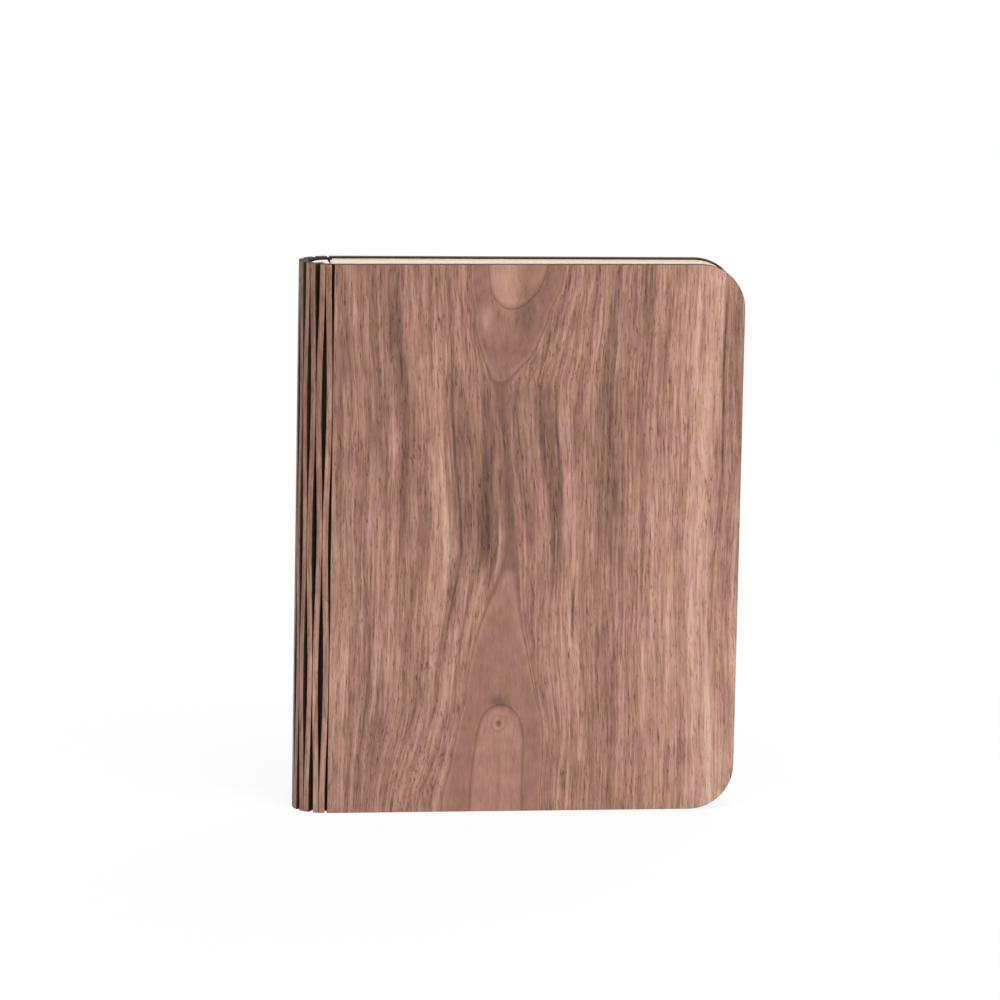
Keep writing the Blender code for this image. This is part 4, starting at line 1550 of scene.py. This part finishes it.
@dataclass
class Core:
    """The lamp core: a cream housing with two end caps, a frosted front and a socket."""

    back: float = 7.7 * MM
    front: float = 0.6 * MM
    half_width: float = 8.6 * MM
    recess: float = 1.0 * MM
    cap: float = 2.0 * MM
    plug: float = 1.5 * MM
    wall: float = 0.7 * MM
    seat: float = 0.3 * MM
    diffuser: float = 1.0 * MM
    socket_centre: float = 4.0 * MM
    socket_size: Triple = (2.4 * MM, 7.4 * MM, 5.2 * MM)
    socket_wall: float = 0.3 * MM
    lip: float = 0.08 * MM
    cap_rounding: float = 0.45 * MM
    chamfer: float = 0.3 * MM
    strip_rounding: float = 0.25 * MM
    tongue: Triple = (0.5 * MM, 4.6 * MM, 3.6 * MM)

    @property
    def shell_ends(self) -> Pair:
        """The lowest and the highest height of the shell and of the frosted strip."""
        low = self.recess + self.cap + self.seat
        return low, BOOK.height - low

    def rings(self, draft: Draft, loop: Loop, insets: Array, levels: Array, finish: int = 0) -> None:
        """Adds a plate that stands upright in the core.

        Args:
            draft: What it is added to.
            loop: Its outline for an inset.
            insets: The insets of its rings.
            levels: Their heights.
            finish: Which of the piece's finishes it takes.
        """
        section = (np.array(insets), np.array(levels))
        plate(draft, loop, section, BOOK.core.world, None, (finish, finish, finish))

    def half_ellipse(self, inset: float, steps: int = 48) -> Array:
        """The core's outline: half an ellipse, open at its flat front.

        Args:
            inset: How far it is drawn in.
            steps: How many steps it has.

        Returns:
            Its points, from the front side round to the back one.
        """
        angle = np.linspace(math.pi / 2, 3 * math.pi / 2, steps + 1)
        deep = self.back - self.front - inset
        wide = self.half_width - inset
        return np.stack([-self.front + deep * np.cos(angle), wide * np.sin(angle)], -1)

    def closed_loop(self, inset: float) -> Array:
        """The outline drawn in on every side, its flat front too."""
        loop = self.half_ellipse(inset)
        loop[:, 0] = np.minimum(loop[:, 0], -self.front - inset)
        return loop

    def slot_loop(self, room: float, inset: float, steps: int = 8) -> Array:
        """A slot with round ends round the socket's middle line.

        Args:
            room: How far it stands off the socket's shell.
            inset: How far it is drawn in.
            steps: How many steps each corner has.

        Returns:
            The loop's points.
        """
        deep, wide, _ = self.socket_size
        size = (deep + 2 * room, wide + 2 * room)
        return soft_rectangle(size, 0.36 * deep + room, inset, steps) - [self.socket_centre, 0]

    def caps(self) -> None:
        """The two end caps, rounded at their outer edge, with a plug inside the housing."""
        angle = np.linspace(0, math.pi / 2, 6)
        insets = np.append(0.0, self.cap_rounding * (1 - np.cos(angle)))
        drops = self.cap_rounding * (1 - np.sin(angle))
        draw = self.wall + self.seat
        top = BOOK.height - self.recess
        for word, outer, way in (("top", top, 1.0), ("bottom", self.recess, -1.0)):
            inner = outer - way * self.cap
            draft = Draft()
            self.rings(draft, self.closed_loop, insets, np.append(inner, outer - way * drops))
            cap = draft.make(f"core_{word}_end", [CREAM])
            neck = Draft()
            levels = [inner - way * self.plug, inner + way * self.cap / 2]
            self.rings(neck, self.plug_loop, [draw, draw], levels)
            carve(cap, neck, "UNION")
            if way > 0:
                self.port(cap, top)
            settle(cap, "core", "core_plastic", f"core_{word}_cap")

    def plug_loop(self, inset: float) -> Array:
        """The plug's outline: drawn in, and cut square behind the diffuser."""
        loop = self.half_ellipse(inset)
        loop[:, 0] = np.minimum(loop[:, 0], -self.front - self.diffuser - self.seat)
        return loop

    def port(self, cap: Piece, top: float) -> None:
        """Cuts the port's mouth through the top cap, with a chamfer round it."""
        mouth = Draft()
        insets = [0.0, 0.0, -self.chamfer, -self.chamfer - MM]
        levels = [top - self.cap - self.plug - MM, top - self.chamfer, top, top + MM]
        self.rings(mouth, lambda inset: self.slot_loop(self.seat, inset), insets, levels)
        carve(cap, mouth)

    def housing(self) -> None:
        """The housing's curved wall, with a lip at its two front edges."""
        outer = self.half_ellipse(0.0, 64)
        inner = self.half_ellipse(self.wall, 64)[::-1]
        section = np.concatenate([outer, inner])
        draft = Draft()
        up = np.linspace(*self.shell_ends, 9)[:, None]
        numbers = draft.points(BOOK.core.world(section[:, 0], section[:, 1], up))
        draft.skin(numbers, closed=True)
        half = len(outer)
        for ring in (numbers[0], numbers[-1]):
            draft.skin(np.stack([ring[:half], ring[half:][::-1]]), smooth=False)
        settle(draft.make("core_shell", [CREAM]), "core", "core_plastic", "core_housing")

    def front_strip(self) -> None:
        """The frosted diffuser, with softly rounded long edges."""
        back = self.front + self.diffuser
        deep = self.back - self.front - self.wall
        half = (self.half_width - self.wall) * math.sqrt(1 - (self.diffuser / deep) ** 2) - self.seat
        low, high = self.shell_ends
        middle, size = (0.0, (low + high) / 2), (2 * half, high - low)
        draft = Draft()
        plate(
            draft,
            lambda inset: self.rectangle(size, inset) + middle,
            rounded_edge(-back, -self.front, self.strip_rounding, 4),
            lambda across, up, level: BOOK.core.world(level, across, up),
        )
        settle(draft.make("core_front_strip", [FROST]), "core", "diffuser", "diffuser")

    def rectangle(self, size: Pair, inset: float) -> Array:
        """A rectangle's four corners round the origin, drawn in by the inset."""
        return (np.array(size) / 2 - inset) * [[-1, -1], [1, -1], [1, 1], [-1, 1]]

    def socket(self) -> None:
        """The charging socket: a drawn shell with round ends, and its tongue."""
        top = BOOK.height - self.recess
        low = top - self.socket_size[2]
        wall, lip = self.socket_wall, self.lip
        floor = low + wall
        draft = Draft()
        levels = [low, top - lip, top, top, top - lip, floor]
        self.rings(
            draft,
            lambda inset: self.slot_loop(0.0, inset),
            [0.0, 0.0, lip, wall - lip, wall, wall],
            levels,
        )
        size, tall, middle = self.tongue[:2], self.tongue[2], [-self.socket_centre, 0]
        levels = [floor, floor + tall - lip, floor + tall]
        self.rings(draft, lambda inset: self.rectangle(size, inset) + middle, [0, 0, lip], levels, 1)
        settle(draft.make("charging_socket", [STEEL, TONGUE]), "core", "socket_steel", "usb_socket")

    def build(self) -> None:
        """Builds the core."""
        self.caps()
        self.housing()
        self.front_strip()
        self.socket()


@dataclass
class CoreParts:
    """What the core holds and hangs on, with the leads and magnets that stay as they are."""

    board: float = 1.0 * MM
    lamps: int = 16
    lamp_margin: float = 12.0 * MM
    lamp: tuple[tuple[float, ...], ...] = (
        (0, 0, 0.56, 1.4, 1.75, 0.25, 0.1, 1),
        (0, 0.42, 0.7, 1.064, 1.33, 0.7, 0.12, 2),
        (-2, 0, 0.08, 1.064, 0.3, 0.1, 0.03, 3),
        (2, 0, 0.08, 1.064, 0.3, 0.1, 0.03, 3),
    )
    seam: float = 0.3 * MM
    seam_half: float = 0.6 * MM
    seam_start: float = 0.8 * MM
    thin_edge: float = 0.1 * MM
    head: float = 4.0 * MM
    head_lap: float = 0.6 * MM
    pouch_corner: float = 0.9 * MM
    pouch_edge: float = 0.7 * MM
    tape_inset: Triple = (0.2 * MM, 0.5 * MM, 0.0)
    tape_corner: float = 0.4 * MM
    tape_edge: float = 0.3 * MM
    legs: Triple = (0.2, 0.5, 0.8)
    leg_half: float = 0.15 * MM
    leg_drop: float = 0.7 * MM
    leg_grip: Pair = (0.5 * MM, 0.1 * MM)
    leg_edge: float = 0.05 * MM
    waist: float = 0.12 * MM
    sway: Pair = (4.0 * MM, 13.0 * MM)
    sway_share: float = 0.5
    pad_rows: int = 60
    pad_columns: int = 40

    def corners(self, name: str) -> tuple[Array, Array]:
        """The lowest and the highest corner of one of the frame's nodes."""
        low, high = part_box(name)
        return np.array(low), np.array(high)

    def led_board(self) -> None:
        """The LED board. Each LED is a white body with a yellow window, between two pads.

        A row of the table is a block, in millimetres: its shift up, near and far level, half
        width, half height, corner radius, edge radius and finish.
        """
        low, high = self.corners("led_board")
        face = low[0] + self.board
        draft = Draft()
        block(draft, low, (face, high[1], high[2]), 0.6 * MM, 0.05 * MM)
        margin = self.lamp_margin
        for up in np.linspace(low[2] + margin, high[2] - margin, self.lamps):
            for shift, near, far, wide, tall, corner, edge, finish in self.lamp:
                middle = up + shift * MM
                foot = (face + near * MM, -wide * MM, middle - tall * MM)
                front = (face + far * MM, wide * MM, middle + tall * MM)
                block(draft, foot, front, corner * MM, edge * MM, finish)
        strip = draft.make("led_strip", [LED_BOARD, RESIN, PHOSPHOR, SOLDER])
        settle(strip, "core", "led_board", "led_board")

    def control_board(self) -> None:
        """The control board with its chip, coil, small parts and solder pads."""
        low, high = self.corners("control_board")
        draft = Draft()
        block(draft, low, high, 0.5 * MM, 0.04 * MM)
        parts = [(-0.7, 13.2, 3.6, 3.6, 0.8, 1), (-1.5, 5.6, 2.6, 2.6, 1.0, 1)]
        parts += [(1.9, up, 0.6, 1.0, 0.5, 2) for up in (11.5, 13.2, 14.9)]
        parts += [(across, 9.6, 0.5, 0.9, 0.45, 2) for across in (-2.9, -1.9, -0.9)]
        parts += [(across, 1.1, 1.2, 1.4, 0.07, 3) for across in (-1.8, 1.8)]
        parts += [(2.2, 7.2, 0.9, 1.6, 0.07, 3), (0.0, 26.6, 5.0, 1.6, 0.07, 3)]
        for across, up, wide, tall, deep, finish in parts:
            foot = np.array([high[0] / MM, across - wide / 2, low[2] / MM + up - tall / 2])
            block(draft, foot * MM, (foot + [deep, wide, tall]) * MM, 0.08 * MM, 0.03 * MM, finish)
        board = draft.make("control_circuit", [GREEN_BOARD, SENSOR, CERAMIC, SOLDER])
        settle(board, "core", "control_board", "control_board")

    def battery(self) -> None:
        """The pouch cell: a soft body, a folded seam down each side and a taped head."""
        low, high = self.corners("battery_cell")
        draft = Draft()
        top = high[2] - self.head
        foot = (low[0], low[1] + self.seam, low[2])
        front = (high[0], high[1] - self.seam, top + self.head_lap)
        block(draft, foot, front, self.pouch_corner, self.pouch_edge)
        middle = (low[0] + high[0]) / 2
        for way in (-1, 1):
            edge = way * (high[1] - self.seam / 2)
            foot = (middle - self.seam_half, edge - self.seam / 2, low[2] + self.seam_start)
            front = (middle + self.seam_half, edge + self.seam / 2, top)
            block(draft, foot, front, self.thin_edge, self.thin_edge)
        foot, front = low + self.tape_inset, high - self.tape_inset
        foot[2] = top
        block(draft, foot, front, self.tape_corner, self.tape_edge, 1)
        settle(draft.make("battery_pouch", [POUCH, TAPE]), "core", "battery_pouch", "battery_cell")

    def sensor(self) -> None:
        """The sensor: a small moulded package on three short legs."""
        low, high = self.corners("hall_sensor")
        board = self.corners("control_board")[1][0]
        draft = Draft()
        block(draft, low, high, 0.2 * MM, 0.3 * MM)
        for share in self.legs:
            across = low[1] + share * (high[1] - low[1])
            foot = (board, across - self.leg_half, low[2] - self.leg_drop)
            front = (low[0] + self.leg_grip[0], across + self.leg_half, low[2] + self.leg_grip[1])
            block(draft, foot, front, self.leg_edge, self.leg_edge, 1)
        settle(draft.make("sensor_package", [SENSOR, SOLDER]), "core", "sensor_black", "hall_sensor")

    def pad(self) -> None:
        """The foam pad under the core, pinched in along its sides between its glued faces.

        A section is a squared-off ellipse: half its depth times the cube root of the cosine,
        and half its width times the cube root of the sine. The width is less by the waist,
        which sways slowly with height, times one less the square of the share of the depth.
        """
        low, high = self.corners("core_pad")
        insets, levels = rounded_edge(low[2], high[2], 0.2 * MM, 3)
        half = len(levels) // 2
        between = np.linspace(levels[half - 1], levels[half], self.pad_rows + 2)[1:-1]
        levels = np.concatenate([levels[:half], between, levels[half:]])[:, None]
        insets = np.concatenate([insets[:half], np.zeros(self.pad_rows), insets[half:]])[:, None]
        turn = np.linspace(0, 2 * math.pi, self.pad_columns, endpoint=False)
        deep, wide = np.cbrt(np.cos(turn)), np.cbrt(np.sin(turn))
        swing = np.sin(levels / self.sway[0]) * np.sin(levels / self.sway[1])
        sway = self.waist * (1 + self.sway_share * swing)
        x = (low[0] + high[0]) / 2 + ((high[0] - low[0]) / 2 - insets) * deep
        y = (high[1] - insets - sway * (1 - deep**2)) * wide
        draft = Draft()
        numbers = draft.points(triples(x, y, levels))
        draft.skin(numbers, closed=True)
        draft.lid(numbers[0])
        draft.lid(numbers[-1])
        pad = settle(draft.make("foam_pad", [FOAM]), "core", "pad_foam", "core_pad")

    def plain(self) -> None:
        """Gives the frame's own leads and magnets their finishes."""
        finishes = {"battery_lead_red": RED_LEAD, "battery_lead_black": BLACK_LEAD, "led_lead": BLACK_LEAD}
        names = ["sensor_magnet", *(f"{s.word}_magnet_{end}" for s in Side for end in ("lower", "upper"))]
        finishes.update(dict.fromkeys(names, NICKEL))
        for name, finish in finishes.items():
            for slot in frame["nodes"][name].material_slots:
                slot.material = finish.material()
            log.info("%s takes %s", name, finish.name)

    def build(self) -> None:
        """Builds the inner parts."""
        self.led_board()
        self.control_board()
        self.battery()
        self.sensor()
        self.pad()
        self.plain()


@dataclass
class Studio:
    """A white room without corners, soft lamps and the camera."""

    yaw: float = math.radians(6.967)
    pitch: float = math.radians(10.257)
    roll: float = math.radians(1.093)
    distance: float = 2.308
    lens: float = 213.75
    sensor: float = 36.0
    aim: Triple = (0.0, 0.0, 0.1075)
    slide: Pair = (-6.26 * MM, 13.43 * MM)
    sky: float = 0.33
    paper: Colour = (0.9, 0.9, 0.9, 1.0)
    reach: float = 6.0
    shadow: Pair = (120.0, 320.0)
    shadow_glow: float = 0.86
    lamps: tuple[tuple[str, Triple, float, float], ...] = (
        ("key", (1.3, -2.7, 0.4), 1.5, 15.0),
        ("fill", (-0.6, -2.9, 0.2), 1.5, 3.0),
        ("top", (0.1, -0.7, 1.75), 1.0, 25.0),
        ("rim", (0.9, 1.6, 1.0), 1.2, 18.0),
    )

    def camera(self) -> None:
        """Puts the camera where the photograph was taken from."""
        cy, sy = math.cos(self.yaw), math.sin(self.yaw)
        cp, sp = math.cos(self.pitch), math.sin(self.pitch)
        cr, sr = math.cos(self.roll), math.sin(self.roll)
        turn = np.array([[cy, -sy, 0], [sy, cy, 0], [0, 0, 1]])
        nod = np.array([[1, 0, 0], [0, cp, -sp], [0, sp, cp]])
        bank = np.array([[cr, 0, sr], [0, 1, 0], [-sr, 0, cr]])
        right, ahead, above = bank @ nod @ turn
        place = np.array(self.aim) + right * self.slide[0] - ahead * self.distance + above * self.slide[1]
        matrix = Matrix.Identity(4)
        for column, axis in enumerate((right, above, -ahead, place)):
            for row in range(3):
                matrix[row][column] = float(axis[row])
        data = bpy.data.cameras.new("camera")
        data.lens = self.lens
        data.sensor_width = self.sensor
        data.clip_end = 20.0
        camera = bpy.data.objects.new("camera", data)
        bpy.context.scene.collection.objects.link(camera)
        camera.matrix_world = matrix
        bpy.context.scene.camera = camera

    def seen(self, sheet: NodeSheet) -> Value:
        """Whether a ray comes from the camera, a mirror or a glass."""
        path = sheet.add("ShaderNodeLightPath")
        names = ("Is Camera Ray", "Is Glossy Ray", "Is Transmission Ray")
        rays = [Value(sheet, path.outputs[name]) for name in names]
        return rays[0].most(rays[1]).most(rays[2])

    def either(self, sheet: NodeSheet, output: str, terms: tuple) -> None:
        """Sends a mix of two shaders by a share to the sheet's output."""
        both = sheet.add("ShaderNodeMixShader", None, dict(enumerate(terms)))
        sheet.add(output, None, {"Surface": both.outputs[0]})

    def floor(self) -> None:
        """A pale floor that keeps the lamp's shadow and is white all round it."""
        draft = Draft()
        line = np.linspace(-self.reach, self.reach, 9)
        x, y = np.meshgrid(line, line)
        draft.skin(draft.points(triples(x, y, 0.0)), smooth=False)
        mesh_object = draft.make("floor", [])
        material = bpy.data.materials.new("studio_floor")
        material.use_nodes = True
        sheet = NodeSheet(material.node_tree)
        paper = sheet.add("ShaderNodeBsdfDiffuse", None, {"Color": self.paper})
        glow = sheet.add("ShaderNodeEmission", None, {"Color": WHITE, "Strength": 1.0})
        x, y, _ = sheet.place()
        far = (x * x + y * y).root().rise(*self.shadow, self.shadow_glow, 1.0)
        share = self.seen(sheet) * far
        self.either(sheet, "ShaderNodeOutputMaterial", (share, paper.outputs[0], glow.outputs[0]))
        mesh_object.data.materials.append(material)

    def world(self) -> None:
        """A soft sky whose own light is plain, and which is white where it is seen."""
        world = bpy.data.worlds.new("studio")
        world.use_nodes = True
        sheet = NodeSheet(world.node_tree)
        skies = [
            sheet.add("ShaderNodeBackground", None, {"Color": WHITE, "Strength": strength}).outputs[0]
            for strength in (self.sky, 1.0)
        ]
        self.either(sheet, "ShaderNodeOutputWorld", (self.seen(sheet), *skies))
        bpy.context.scene.world = world

    def lamp(self, name: str, place: Triple, size: float, power: float) -> None:
        """One soft square lamp that faces the lamp's middle.

        Args:
            name: Its name.
            place: Where it hangs.
            size: The length of its side.
            power: Its power in watts.
        """
        data = bpy.data.lights.new(name, "AREA")
        data.size = size
        data.energy = power
        lamp = bpy.data.objects.new(name, data)
        bpy.context.scene.collection.objects.link(lamp)
        lamp.location = place
        lamp.rotation_euler = (Vector(self.aim) - Vector(place)).to_track_quat("-Z", "Y").to_euler()

    def build(self) -> None:
        """Builds the whole studio."""
        bpy.context.scene.view_settings.view_transform = "Standard"
        self.camera()
        self.floor()
        self.world()
        for row in self.lamps:
            self.lamp(*row)


def main() -> None:
    """Builds the studio and every part of the lamp."""
    logging.basicConfig(level=logging.INFO, format="%(message)s")
    Studio().build()
    for side in Side:
        Cover(side).build()
    for number in range(1, BOOK.SLATS + 1):
        Slat(number).build()
    SpineCloth().build()
    Concertina().build()
    Core().build()
    CoreParts().build()


if __name__ == "__main__":
    main()
